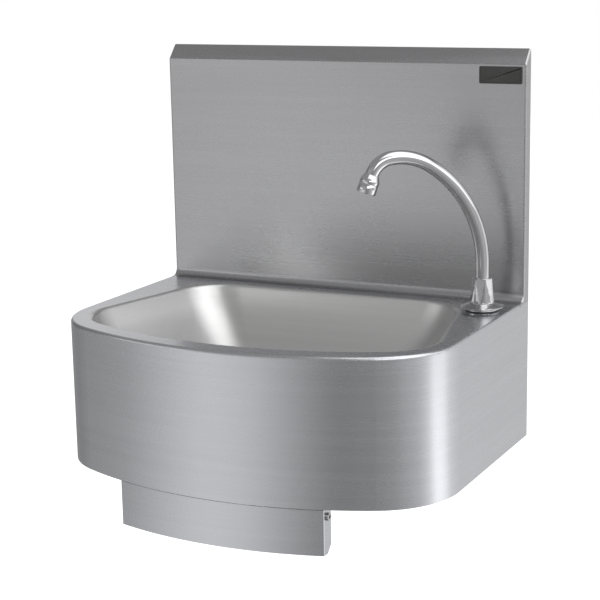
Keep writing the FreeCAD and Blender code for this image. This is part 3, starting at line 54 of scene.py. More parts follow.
MM = 0.001


# ---------------------------------------------------------------- values that a user changes


class SheetSteelSettings(bpy.types.PropertyGroup):
    colour: FloatVectorProperty(name="Colour", description="Colour of the bare steel", subtype="COLOR",
                                default=(0.612, 0.618, 0.645), min=0.0, max=1.0)
    # Painted shade: the same steel as the casing, made darker to stand in for the darker reflections on the
    # splashback.
    splash_painted_shade_colour: FloatVectorProperty(name="Splashback colour",
                                       description="Colour of the splashback's sheet", subtype="COLOR",
                                       default=(0.478, 0.477, 0.488), min=0.0, max=1.0)
    # Painted light: the same steel as the casing, made lighter to stand in for the brighter reflections
    # inside the bowl.
    bowl_painted_light_colour: FloatVectorProperty(name="Bowl colour", description="Colour of the pressed bowl",
                                     subtype="COLOR", default=(0.735, 0.732, 0.728), min=0.0, max=1.0)
    roughness: FloatProperty(name="Roughness", description="Mean roughness of the brushed faces",
                             default=0.27, min=0.0, max=1.0, subtype="FACTOR")
    line_width: FloatProperty(name="Line width", description="Typical width of a brush line",
                              default=0.9 * MM, min=0.1 * MM, unit="LENGTH")
    line_depth: FloatProperty(name="Line depth", description="Depth of the brush lines",
                              default=0.0012 * MM, min=0.0, unit="LENGTH")


class TapSettings(bpy.types.PropertyGroup):
    colour: FloatVectorProperty(name="Chrome colour", description="Colour of the chrome plate",
                                subtype="COLOR", default=(0.66, 0.66, 0.675), min=0.0, max=1.0)
    roughness: FloatProperty(name="Chrome roughness", description="Roughness of the chrome plate",
                             default=0.02, min=0.0, max=1.0, subtype="FACTOR")
    tube_radius: FloatProperty(name="Tube radius", description="Outside radius of the spout tube",
                               default=8.4 * MM, unit="LENGTH")
    tube_wall: FloatProperty(name="Tube wall", description="Wall of the spout tube",
                             default=1.0 * MM, unit="LENGTH")
    tube_foot: FloatProperty(name="Tube foot", description="Deck to the foot of the spout tube",
                             default=33.8 * MM, unit="LENGTH")
    rise: FloatProperty(name="Rise", description="Deck to the start of the first bend",
                        default=57.5 * MM, unit="LENGTH")
    rise_bend: FloatProperty(name="First bend", description="Radius of the first bend",
                             default=147.0 * MM, unit="LENGTH")
    rise_turn: FloatProperty(name="First turn", description="Angle of the first bend",
                             default=math.radians(56.0), subtype="ANGLE")
    crown_bend: FloatProperty(name="Crown bend", description="Radius of the bend over the crown",
                              default=74.0 * MM, unit="LENGTH")
    crown_turn: FloatProperty(name="Crown turn", description="Angle of the bend over the crown",
                              default=math.radians(41.0), subtype="ANGLE")
    tip_bend: FloatProperty(name="Tip bend", description="Radius of the bend at the tip",
                            default=28.5 * MM, unit="LENGTH")
    tip_turn: FloatProperty(name="Tip turn", description="Angle of the bend at the tip",
                            default=math.radians(63.0), subtype="ANGLE")
    swing: FloatProperty(name="Swing", description="Spout's angle from straight ahead",
                         default=math.radians(50.0), subtype="ANGLE")


class PlateSettings(bpy.types.PropertyGroup):
    colour: FloatVectorProperty(name="Plate colour", description="Colour of the blank plate", subtype="COLOR",
                                default=(0.022, 0.021, 0.02), min=0.0, max=1.0)
    corner: FloatProperty(name="Corner", description="Corner radius of the plate",
                          default=1.6 * MM, unit="LENGTH")
    border: FloatProperty(name="Border", description="Width of the plate's border",
                          default=1.4 * MM, unit="LENGTH")
    bevel: FloatProperty(name="Bevel", description="Width of the slope inside and outside the border",
                         default=0.25 * MM, unit="LENGTH")
    recess: FloatProperty(name="Recess", description="Depth of the field inside the border",
                          default=0.15 * MM, unit="LENGTH")


class HiddenSettings(bpy.types.PropertyGroup):
    brass: FloatVectorProperty(name="Brass", description="Colour of the brass pieces", subtype="COLOR",
                               default=(0.72, 0.56, 0.3), min=0.0, max=1.0)
    rubber: FloatVectorProperty(name="Rubber", description="Colour of the seals", subtype="COLOR",
                                default=(0.035, 0.035, 0.036), min=0.0, max=1.0)
    nylon: FloatVectorProperty(name="Nylon", description="Colour of the bushes and inserts", subtype="COLOR",
                               default=(0.82, 0.82, 0.79), min=0.0, max=1.0)
    copper: FloatVectorProperty(name="Copper", description="Colour of the outlet pipe", subtype="COLOR",
                                default=(0.75, 0.45, 0.32), min=0.0, max=1.0)
    mill_steel: FloatVectorProperty(name="Mill steel", description="Colour of the rail and the brackets",
                                    subtype="COLOR", default=(0.56, 0.56, 0.565), min=0.0, max=1.0)
    screw_steel: FloatVectorProperty(name="Screw steel", description="Colour of the screws, nuts and spring",
                                     subtype="COLOR", default=(0.6, 0.6, 0.605), min=0.0, max=1.0)


class StudioSettings(bpy.types.PropertyGroup):
    floor_level: FloatProperty(name="Floor level", description="Height of the studio floor",
                               default=-0.62, unit="LENGTH")
    world_strength: FloatProperty(name="World strength", description="Strength of the even studio light",
                                  default=0.55, min=0.0)
    lamp_power: FloatProperty(name="Lamp power", description="Power of each large soft lamp",
                              default=22.0, min=0.0, unit="POWER")
    floor_glow: FloatProperty(name="Floor glow", description="White that the floor adds where it is seen",
                              default=0.6, min=0.0)
    wall_distance: FloatProperty(name="Wall distance", description="Radius of the round studio wall",
                                 default=2.6, unit="LENGTH")
    ceiling_level: FloatProperty(name="Ceiling level", description="Height of the studio ceiling",
                                 default=2.2, unit="LENGTH")
    ceiling_tone: FloatProperty(name="Ceiling tone", description="Brightness of the ceiling in reflections",
                                default=0.33, min=0.0)
    skylight_tone: FloatProperty(name="Skylight tone", description="Brightness of the ceiling's light panel",
                                 default=1.7, min=0.0)
    lens: FloatProperty(name="Lens", description="Focal length of the camera", default=98.46, unit="CAMERA")


SETTINGS = (
    ("sink_sheet_steel", SheetSteelSettings),
    ("sink_tap", TapSettings),
    ("sink_plate", PlateSettings),
    ("sink_hidden", HiddenSettings),
    ("sink_studio", StudioSettings),
)


# ---------------------------------------------------------------- shader maths


class Value:
    """A node's output that takes part in Python arithmetic."""

    def __init__(self, finish, socket):
        self.finish = finish
        self.socket = socket

    def maths(self, operation, first, second=0.0):
        return self.finish.maths(operation, first, second)

    def __add__(self, other):
        return self.maths("ADD", self, other)

    __radd__ = __add__

    def __sub__(self, other):
        return self.maths("SUBTRACT", self, other)

    def __rsub__(self, other):
        return self.maths("SUBTRACT", other, self)

    def __mul__(self, other):
        return self.maths("MULTIPLY", self, other)

    __rmul__ = __mul__

    def __truediv__(self, other):
        return self.maths("DIVIDE", self, other)

    def __abs__(self):
        return self.maths("ABSOLUTE", self)


class Finish:
    """A material and the nodes that make it up."""

    def __init__(self, name, **constants):
        self.material = bpy.data.materials.new(name)
        self.material.use_nodes = True
        self.tree = self.material.node_tree
        self.shader = self.tree.nodes["Principled BSDF"]
        self.place = self.node("ShaderNodeTexCoord", output="Object")
        for name_of_socket, value in constants.items():
            self.shader.inputs[name_of_socket.replace("_", " ")].default_value = value

    def node(self, kind, settings=None, inputs=None, output=0):
        made = self.tree.nodes.new(kind)
        for name, value in (settings or {}).items():
            if name == "stops":
                for index, (position, colour) in enumerate(value):
                    stops = made.color_ramp.elements
                    stop = stops[index] if index < len(stops) else stops.new(position)
                    stop.position = position
                    stop.color = colour
            else:
                setattr(made, name, value)
        for name, value in (inputs or {}).items():
            if isinstance(value, Value):
                self.tree.links.new(value.socket, made.inputs[name])
            else:
                made.inputs[name].default_value = value
        return Value(self, made.outputs[output])

    def maths(self, operation, first, second=0.0):
        return self.node("ShaderNodeMath", {"operation": operation}, {0: first, 1: second})

    def noise(self, stretch, detail=2.0, rough=0.5):
        """Noise between 0 and 1 with that many waves a metre along each axis."""
        spread = self.node("ShaderNodeVectorMath", {"operation": "MULTIPLY"}, {0: self.place, 1: stretch})
        return self.node("ShaderNodeTexNoise", {}, {"Vector": spread, "Scale": 1.0, "Detail": detail,
                                                    "Roughness": rough})

    def band(self, value, low, high, to_low=0.0, to_high=1.0):
        return self.node("ShaderNodeMapRange", {"interpolation_type": "SMOOTHSTEP"},
                         {"Value": value, "From Min": low, "From Max": high,
                          "To Min": to_low, "To Max": to_high})

    def blend(self, factor, first, second):
        """A colour between two colours."""
        return self.node("ShaderNodeMix", {"data_type": "RGBA"}, {0: factor, 6: first, 7: second}, output=2)

    def mix(self, factor, first, second):
        return first + factor * (second - first)

    def feed(self, **links):
        for name, value in links.items():
            self.tree.links.new(value.socket, self.shader.inputs[name.replace("_", " ")])

    def bump(self, height, distance):
        inputs = {"Height": height, "Distance": distance, "Strength": 1.0}
        self.feed(Normal=self.node("ShaderNodeBump", {}, inputs))


def shade(colour, factor):
    return tuple(min(1.0, part * factor) for part in colour) + (1.0,)


def brushed_steel(name, settings, colour, swept_round=False, duller=0.0):
    """Steel brushed in fine lines: level lines on upright faces, lines across the width on level ones."""
    finish = Finish(name, Metallic=1.0, Anisotropic=0.55, Anisotropic_Rotation=0.25)
    waves = 0.5 / settings.line_width
    normal = finish.node("ShaderNodeTexCoord", output="Normal")
    up = finish.node("ShaderNodeSeparateXYZ", {}, {0: normal}, output="Z")
    level = finish.band(abs(up), 0.55, 0.8)
    if swept_round:
        level = level * 0.35
    fine = finish.mix(level, finish.noise((7.0, 7.0, waves)), finish.noise((7.0, waves, 7.0)))
    wide = waves / 5
    coarse = finish.mix(level, finish.noise((2.5, 2.5, wide), 3.0), finish.noise((2.5, wide, 2.5), 3.0))
    cloud = finish.noise((6.0, 6.0, 6.0), 3.0, 0.6)
    smudge = finish.band(finish.noise((14.0, 14.0, 9.0), 4.0, 0.65), 0.45, 0.75)
    tone = 0.55 * coarse + 0.3 * fine + 0.15 * cloud
    finish.feed(
        Base_Color=finish.blend(finish.band(tone, 0.3, 0.7), shade(colour, 0.97), shade(colour, 1.03)),
        Roughness=settings.roughness + duller - 0.03 + 0.03 * fine + 0.03 * coarse + 0.02 * smudge,
    )
    finish.bump(0.7 * fine + 0.3 * coarse, settings.line_depth)
    return finish.material


def plain_steel(name, colour):
    """Mill finish sheet with faint rolling marks."""
    finish = Finish(name, Metallic=1.0)
    marks = finish.noise((30.0, 30.0, 400.0), 3.0)
    cloud = finish.noise((25.0, 25.0, 25.0), 4.0, 0.6)
    finish.feed(
        Base_Color=finish.blend(finish.band(cloud, 0.3, 0.7), shade(colour, 0.88), shade(colour, 1.06)),
        Roughness=0.33 + 0.1 * cloud + 0.05 * marks,
    )
    finish.bump(0.5 * marks + 0.5 * cloud, 0.01 * MM)
    return finish.material


def polished_metal(name, colour, roughness):
    """Polished plate with the faint haze of wiped metal."""
    finish = Finish(name, Metallic=1.0)
    haze = finish.band(finish.noise((60.0, 60.0, 60.0), 4.0, 0.6), 0.35, 0.75)
    wipe = finish.noise((35.0, 35.0, 500.0), 2.0)
    finish.feed(
        Base_Color=finish.blend(haze, shade(colour, 1.0), shade(colour, 0.95)),
        Roughness=roughness + 0.035 * haze + 0.02 * wipe,
    )
    finish.bump(wipe, 0.0008 * MM)
    return finish.material


def machined_metal(name, colour, roughness):
    """Turned metal: fine rings of the tool with duller, darker patches."""
    finish = Finish(name, Metallic=1.0)
    turning = finish.noise((900.0, 900.0, 900.0), 1.0)
    stain = finish.band(finish.noise((70.0, 70.0, 70.0), 5.0, 0.62), 0.35, 0.7)
    finish.feed(
        Base_Color=finish.blend(stain, shade(colour, 1.0), shade(colour, 0.72)),
        Roughness=roughness + 0.12 * stain + 0.06 * turning,
    )
    finish.bump(turning, 0.01 * MM)
    return finish.material


def moulded(name, colour, roughness, grain, depth):
    """Moulded rubber or plastic with a fine grain and dusty patches."""
    finish = Finish(name)
    pores = finish.noise((grain, grain, grain), 3.0, 0.6)
    dust = finish.band(finish.noise((55.0, 55.0, 55.0), 4.0, 0.6), 0.4, 0.75)
    pale = tuple(min(1.0, part * 1.25 + 0.012) for part in colour) + (1.0,)
    finish.feed(
        Base_Color=finish.blend(dust, shade(colour, 1.0), pale),
        Roughness=roughness + 0.12 * pores + 0.08 * dust,
    )
    finish.bump(pores, depth)
    return finish.material


# ---------------------------------------------------------------- modelling


def nothing_selected():
    if bpy.context.object and bpy.context.object.mode != "OBJECT":
        bpy.ops.object.mode_set(mode="OBJECT")
    bpy.ops.object.select_all(action="DESELECT")


def take(name):
    """The new active object under its own name, in edit mode with all of it selected."""
    piece = bpy.context.object
    piece.name = name
    piece.data.name = name
    bpy.ops.object.mode_set(mode="EDIT")
    bpy.ops.mesh.select_all(action="SELECT")
    return piece


def settle(piece, turn=None):
    """Back to object mode, with the piece's place moved into its mesh."""
    bpy.ops.object.mode_set(mode="OBJECT")
    if turn is not None:
        piece.matrix_world = turn @ piece.matrix_world
    bpy.ops.object.transform_apply(location=True, rotation=True, scale=True)


def apply_modifier(piece, kind, **values):
    modifier = piece.modifiers.new(kind.lower(), kind)
    for name, value in values.items():
        setattr(modifier, name, value)
    bpy.ops.object.modifier_apply(modifier=modifier.name)


def smooth(angle=35.0):
    bpy.ops.object.shade_smooth_by_angle(angle=math.radians(angle))


def lathe(name, profile, sides=64):
    """A turned piece about Z from radii and heights in millimetres, each ring extruded from the last."""
    nothing_selected()
    rings = [(radius * MM, height * MM) for radius, height in profile]
    radius, height = rings[0]
    bpy.ops.mesh.primitive_circle_add(vertices=sides, radius=radius, location=(0, 0, height))
    piece = take(name)
    bpy.ops.object.mode_set(mode="OBJECT")
    bpy.ops.object.transform_apply(location=True, rotation=True, scale=True)
    bpy.ops.object.mode_set(mode="EDIT")
    for next_radius, next_height in rings[1:]:
        bpy.ops.mesh.extrude_region_move(TRANSFORM_OT_translate={"value": (0, 0, next_height - height)})
        factor = next_radius / radius
        bpy.ops.transform.resize(value=(factor, factor, 1), center_override=(0, 0, next_height))
        radius, height = next_radius, next_height
    bpy.ops.mesh.select_all(action="SELECT")
    bpy.ops.mesh.remove_doubles(threshold=1e-7)
    bpy.ops.mesh.normals_make_consistent(inside=False)
    return piece


def finished_like(piece, material, slot, body, *nodes):
    """Gives a new piece its finish and lets it stand for its CAD nodes."""
    piece.data.materials.clear()
    piece.data.materials.append(material)
    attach(piece, body)
    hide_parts(*nodes)


def dress(names, material):
    for name in names:
        slots = NODES[name].material_slots
        if not slots:
            NODES[name].data.materials.append(material)
        for slot in slots:
            slot.material = material


def softened_copy(name, node, width, angle):
    """A copy of a CAD node whose sharp edges are rounded."""
    nothing_selected()
    source = NODES[node]
    source.select_set(True)
    bpy.context.view_layer.objects.active = source
    bpy.ops.object.duplicate(linked=False)
    piece = bpy.context.object
    piece.parent = None
    piece.matrix_world = Matrix.Identity(4)
    piece = take(name)
    bpy.ops.mesh.remove_doubles(threshold=1e-6)
    bpy.ops.mesh.customdata_custom_splitnormals_clear()
    bpy.ops.object.mode_set(mode="OBJECT")
    apply_modifier(piece, "BEVEL", width=width, segments=2, limit_method="ANGLE",
                   angle_limit=math.radians(angle), harden_normals=False)
    smooth(40.0)
    return piece


# ---------------------------------------------------------------- operators


class SINK_OT_sheet_steel(bpy.types.Operator):
    """Brush the casing, splashback, bowl and knee panel"""
    bl_idname = "sink.sheet_steel"
    bl_label = "Brushed sheet"

    def execute(self, context):
        settings = context.scene.sink_sheet_steel
        body = brushed_steel("brushed_casing", settings, settings.colour)
        # The splashback's material is the casing steel in a darker colour, which is painted shade.
        splash_painted_shade = brushed_steel("brushed_splashback_painted_shade", settings, settings.splash_painted_shade_colour)
        # The bowl's material is the casing steel in a lighter colour, which is painted light; its higher
        # roughness is the real satin finish.
        bowl = brushed_steel("satin_bowl_painted_light", settings, settings.bowl_painted_light_colour, swept_round=True, duller=0.1)
        dress(("casing", "knee_panel"), body)
        dress(("splashback",), splash_painted_shade)
        dress(("bowl",), bowl)
        return {"FINISHED"}


class SINK_OT_supports(bpy.types.Operator):
    """Finish the wall rail and the brackets"""
    bl_idname = "sink.supports"
    bl_label = "Rail and brackets"

    def execute(self, context):
        sheet = plain_steel("mill_steel", context.scene.sink_hidden.mill_steel)
        dress(("wall_rail", "hinge_bracket_right", "hinge_bracket_left", "valve_bracket"), sheet)
        return {"FINISHED"}


class SINK_OT_spout(bpy.types.Operator):
    """Model the bent spout tube"""
    bl_idname = "sink.spout"
    bl_label = "Spout tube"

    def execute(self, context):
        tap = context.scene.sink_tap
        nothing_selected()
        bpy.ops.mesh.primitive_circle_add(vertices=48, radius=tap.tube_radius, location=(0, 0, tap.tube_foot))
        piece = take("spout_pipe")
        bpy.ops.mesh.extrude_region_move(TRANSFORM_OT_translate={"value": (0, 0, tap.rise - tap.tube_foot)})
        for centre, turn in tube_bends(tap)[0]:
            bpy.ops.mesh.spin(steps=round(math.degrees(turn) / 2), angle=-turn, center=centre, axis=(0, 1, 0))
        bpy.ops.mesh.select_all(action="SELECT")
        bpy.ops.mesh.remove_doubles(threshold=1e-6)
        bpy.ops.mesh.normals_make_consistent(inside=False)
        settle(piece, tap_place(tap))
        apply_modifier(piece, "SOLIDIFY", thickness=tap.tube_wall, offset=-1.0)
        smooth()
        chrome = polished_metal("chrome_tube", tap.colour, tap.roughness)
        finished_like(piece, chrome, "chrome", "spout", "spout_tube")
        return {"FINISHED"}


def tube_bends(tap):
    """Centre and angle of each bend, then the tube's end and its heading from upright."""
    def side(heading):
        return Vector((math.cos(heading), 0, -math.sin(heading)))

    end = Vector((0, 0, tap.rise))
    heading = 0.0
    bends = []
    for radius, turn in ((tap.rise_bend, tap.rise_turn), (tap.crown_bend, tap.crown_turn),
                         (tap.tip_bend, tap.tip_turn)):
        centre = end + radius * side(heading)
        bends.append((centre, turn))
        heading += turn
        end = centre - radius * side(heading)
    return bends, end, heading


def tap_place(tap):
    """From the tap's own frame, whose +X is the spout's reach, to the sink's."""
    low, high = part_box("tap_body")
    centre = (low + high) / 2
    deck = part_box("casing")[1].z
    turn = Matrix.Rotation(-math.radians(90) - tap.swing, 4, "Z")
    return Matrix.Translation((centre.x, centre.y, deck)) @ turn


def tip_place(tap):
    """From a frame whose +Z runs out of the spout's end to the sink's."""
    _, end, heading = tube_bends(tap)
    return tap_place(tap) @ Matrix.Translation(end) @ Matrix.Rotation(heading, 4, "Y")


ROSETTE_PROFILE = (
    (11.0, 1.0), (20.3, 1.0), (21.0, 1.5), (21.0, 2.7), (21.6, 3.2), (25.9, 4.1), (26.5, 4.6), (26.5, 5.1),
    (25.9, 5.6), (21.0, 7.0), (16.8, 8.9), (16.0, 9.5), (11.0, 9.5), (11.0, 1.0),
)  # radius and height above the deck in millimetres
AERATOR_PROFILE = (
    (7.4, 0.0), (9.0, 0.0), (9.3, 0.3), (11.5, 6.7), (11.8, 7.4), (11.8, 11.0), (11.45, 11.35),
    (11.45, 11.75), (11.8, 12.1), (11.8, 22.3), (11.2, 23.0), (9.4, 23.0), (9.0, 22.6), (9.0, 21.8),
    (10.3, 21.8), (10.3, 7.0), (7.4, 7.0), (7.4, 0.0),
)  # radius and distance beyond the spout's end in millimetres


class SINK_OT_tap(bpy.types.Operator):
    """Model the aerator and the rosette and chrome the tap"""
    bl_idname = "sink.tap"
    bl_label = "Tap body"

    def execute(self, context):
        tap = context.scene.sink_tap
        chrome = polished_metal("chrome_tap", tap.colour, tap.roughness)
        bell = softened_copy("tap_bell", "tap_body", 0.35 * MM, 25.0)
        finished_like(bell, chrome, "chrome", "basin", "tap_body")

        rosette = lathe("rosette_dish", ROSETTE_PROFILE)
        settle(rosette, tap_place(tap))
        smooth(50.0)
        finished_like(rosette, chrome, "chrome", "basin", "tap_rosette")

        housing = lathe("aerator_shell", AERATOR_PROFILE)
        settle(housing, tip_place(tap))
        smooth(50.0)
        finished_like(housing, chrome, "chrome", "spout", "aerator_housing")
        return {"FINISHED"}


class SINK_OT_plate(bpy.types.Operator):
    """Model the blank dark plate on the splashback"""
    bl_idname = "sink.plate"
    bl_label = "Blank plate"

    def execute(self, context):
        plate = context.scene.sink_plate
        low, high = (Vector(corner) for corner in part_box("badge_plate"))
        nothing_selected()
        bpy.ops.mesh.primitive_cube_add(size=1.0, location=(low + high) / 2, scale=high - low)
        piece = take("blank_plate")
        bpy.ops.object.mode_set(mode="OBJECT")
        bpy.ops.object.transform_apply(location=True, rotation=True, scale=True)
        bpy.ops.object.mode_set(mode="EDIT")
        bpy.ops.mesh.select_mode(type="EDGE")
        bpy.ops.mesh.select_all(action="DESELECT")
        bpy.ops.object.mode_set(mode="OBJECT")
        for edge in piece.data.edges:
            first, second = (piece.data.vertices[index].co for index in edge.vertices)
            edge.select = abs(first.y - second.y) > 1e-5
        bpy.ops.object.mode_set(mode="EDIT")
        bpy.ops.mesh.bevel(offset=plate.corner, segments=5, affect="EDGES")
        bpy.ops.mesh.select_mode(type="FACE")
        bpy.ops.mesh.select_all(action="DESELECT")
        bpy.ops.object.mode_set(mode="OBJECT")
        for face in piece.data.polygons:
            face.select = face.normal.y < -0.9
        bpy.ops.object.mode_set(mode="EDIT")
        bpy.ops.mesh.inset(thickness=plate.bevel, depth=0.0)
        bpy.ops.mesh.inset(thickness=plate.border, depth=0.0)
        bpy.ops.mesh.inset(thickness=plate.bevel, depth=-plate.recess)
        settle(piece)
        apply_modifier(piece, "BEVEL", width=0.12 * MM, segments=2, limit_method="ANGLE",
                       angle_limit=math.radians(40))
        smooth()
        finish = Finish("blank_plate_finish", Coat_Roughness=0.15)
        grain = finish.noise((900.0, 900.0, 900.0), 2.0)
        wear = finish.band(finish.noise((120.0, 120.0, 120.0), 4.0), 0.5, 0.8)
        finish.feed(
            Base_Color=finish.blend(wear, shade(plate.colour, 1.0), shade(plate.colour, 1.9)),
            Roughness=0.32 + 0.1 * grain + 0.08 * wear,
            Coat_Weight=0.35 - 0.15 * wear,
        )
        finish.bump(grain, 0.004 * MM)
        finished_like(piece, finish.material, "dark_plate", "basin", "badge_plate")
        return {"FINISHED"}


class SINK_OT_waste(bpy.types.Operator):
    """Finish the strainer and the waste below it"""
    bl_idname = "sink.waste"
    bl_label = "Waste"

    def execute(self, context):
        tap = context.scene.sink_tap
        hidden = context.scene.sink_hidden
        dress(("waste_strainer", "waste_screw"), polished_metal("polished_strainer", tap.colour, 0.16))
        dress(("waste_body",), machined_metal("waste_brass", hidden.brass, 0.3))
        return {"FINISHED"}


class SINK_OT_valve(bpy.types.Operator):
    """Finish the brass valve, the mixing block and the pipe to the tap"""
    bl_idname = "sink.valve"
    bl_label = "Valve and pipe"

    def execute(self, context):
        hidden = context.scene.sink_hidden
        brass = machined_metal("turned_brass", hidden.brass, 0.26)
        dress(("spout_tail", "tap_backnut", "tap_washer", "valve_body", "valve_bonnet", "valve_locknut",
               "valve_poppet", "mixing_block", "union_nuts", "pipe_olives", "valve_button"), brass)
        dress(("outlet_pipe",), machined_metal("drawn_copper", hidden.copper, 0.24))
        return {"FINISHED"}


class SINK_OT_seals(bpy.types.Operator):
    """Finish the gaskets, seals and the panel's buffer"""
    bl_idname = "sink.seals"
    bl_label = "Seals"

    def execute(self, context):
        hidden = context.scene.sink_hidden
        rubber = moulded("black_rubber", hidden.rubber, 0.55, 700.0, 0.02 * MM)
        nylon = moulded("white_nylon_moulding", hidden.nylon, 0.34, 400.0, 0.006 * MM)
        dress(("waste_gasket", "waste_seal", "tap_gasket", "spout_o_rings", "aerator_seal", "poppet_seal",
               "panel_buffer"), rubber)
        dress(("pivot_bushes", "aerator_insert", "check_valves"), nylon)
        return {"FINISHED"}


class SINK_OT_fasteners(bpy.types.Operator):
    """Finish the screws, nuts and the valve's spring"""
    bl_idname = "sink.fasteners"
    bl_label = "Fasteners"

    def execute(self, context):
        steel = machined_metal("fastener_steel", context.scene.sink_hidden.screw_steel, 0.2)
        dress(("pivot_screws", "pivot_nuts", "bracket_screws", "bracket_nuts", "spout_grub_screw",
               "valve_spring"), steel)
        return {"FINISHED"}


# ---------------------------------------------------------------- studio


SURROUND = (
    (-180, 0.55), (-150, 0.32), (-94, 0.30), (-56, 0.45), (-26, 0.88), (-12, 0.80), (4, 0.46), (15, 0.26),
    (25, 0.32), (46, 0.39), (72, 0.62), (86, 1.00), (96, 1.72), (108, 1.50), (121, 0.92), (154, 0.68),
    (180, 0.55),
)  # degrees from straight ahead of the sink towards its right, and how bright the studio is there
CARDS = (
    (-70, 10, 0.25, 2.4, 0.42),
    (-62, -29, 0.5, 0.85, 1.5),
    (-112, -66, 0.1, 2.4, 0.22),
    (24, 84, 0.7, 2.4, 2.2),
    (-172, -128, 0.15, 1.2, 0.75),
    (58, 108, -0.45, 0.5, 0.55),
    (-16, -2, -0.3, 0.15, 0.6),
)  # first and last degree, lowest and highest level, and brightness of each card on the wall
CARD_OUTER = 6
CARD_INNER = 4  # degrees outside and inside a card's side edge between which it fades
UNDERSIDE_TONE = 0.12
LAMPS = (
    ("right_lamp", (2.4, -0.6, 0.9), (1.6, 1.6)),
    ("left_lamp", (-2.3, -1.2, 1.5), (1.4, 1.4)),
    ("top_lamp", (0.1, -1.1, 2.1), (1.8, 1.2)),
)  # name, place and size of each soft lamp
LAMP_AIM = (0.0, -0.1, 0.0)
CAMERA_SPOT = (0.8862, -1.9229, 0.4846)
CAMERA_YAW = -0.461
CAMERA_PITCH = -0.2156
CAMERA_ROLL = -0.0184


def turn_share(degrees):
    """A bearing as a share of the full turn that starts behind the sink."""
    return (degrees + 180) / 360


def surround(studio):
    """Walls and ceiling of the studio, which only the metal's reflections see."""
    nothing_selected()
    height = studio.ceiling_level - studio.floor_level - 0.01
    bpy.ops.mesh.primitive_cylinder_add(vertices=96, radius=studio.wall_distance, depth=height,
                                        location=(0, 0, studio.ceiling_level - height / 2))
    piece = take("studio_surround")
    settle(piece)
    finish = Finish("studio_walls", Base_Color=(0.0, 0.0, 0.0, 1.0), Roughness=1.0, Specular_IOR_Level=0.0,
                    Emission_Strength=1.0)
    across, ahead, up = (finish.node("ShaderNodeSeparateXYZ", {}, {0: finish.place}, output=axis)
                         for axis in ("X", "Y", "Z"))
    bearing = finish.maths("ARCTAN2", across, 0.0 - ahead) / (2 * math.pi) + 0.5
    brightest = max(tone for _, tone in SURROUND)
    stops = [(turn_share(angle), (tone / brightest,) * 3 + (1.0,)) for angle, tone in SURROUND]
    tone = finish.node("ShaderNodeValToRGB", {"stops": stops}, {0: bearing}) * brightest
    for first, last, low, high, brightness in CARDS:
        card = (finish.band(bearing, turn_share(first - CARD_OUTER), turn_share(first + CARD_INNER))
                * finish.band(bearing, turn_share(last - CARD_INNER), turn_share(last + CARD_OUTER), 1.0, 0.0)
                * finish.band(up, low - 0.1, low + 0.1) * finish.band(up, high - 0.1, high + 0.1, 1.0, 0.0))
        tone = finish.mix(card, tone, brightness)
    ceiling = finish.band(up, studio.ceiling_level - 0.7, studio.ceiling_level - 0.1)
    skylight = ceiling * finish.band(across, -0.1, 0.3) * finish.band(abs(ahead + 0.3), 0.9, 1.4, 1.0, 0.0)
    reach = finish.node("ShaderNodeVectorMath", {"operation": "LENGTH"}, {0: finish.place}, output="Value")
    floor = finish.band(up, studio.floor_level + 0.02, studio.floor_level + 0.05, 1.0, 0.0)
    underside = floor * finish.band(reach, 0.6, 1.1, 1.0, 0.0)
    tone = finish.mix(ceiling, tone, studio.ceiling_tone)
    tone = finish.mix(skylight, tone, studio.skylight_tone)
    tone = finish.mix(underside, tone, UNDERSIDE_TONE)
    finish.feed(Emission_Color=tone)
    piece.data.materials.append(finish.material)
    piece.visible_camera = False
    piece.visible_diffuse = False
    piece.visible_shadow = False
    piece.visible_transmission = False


def lamp(name, centre, size, power):
    light = bpy.data.lights.new(name, "AREA")
    light.shape = "RECTANGLE"
    light.size, light.size_y = size
    light.energy = power
    piece = bpy.data.objects.new(name, light)
    piece.location = centre
    piece.rotation_euler = (Vector(LAMP_AIM) - Vector(centre)).to_track_quat("-Z", "Y").to_euler()
    piece.visible_glossy = False
    bpy.context.scene.collection.objects.link(piece)


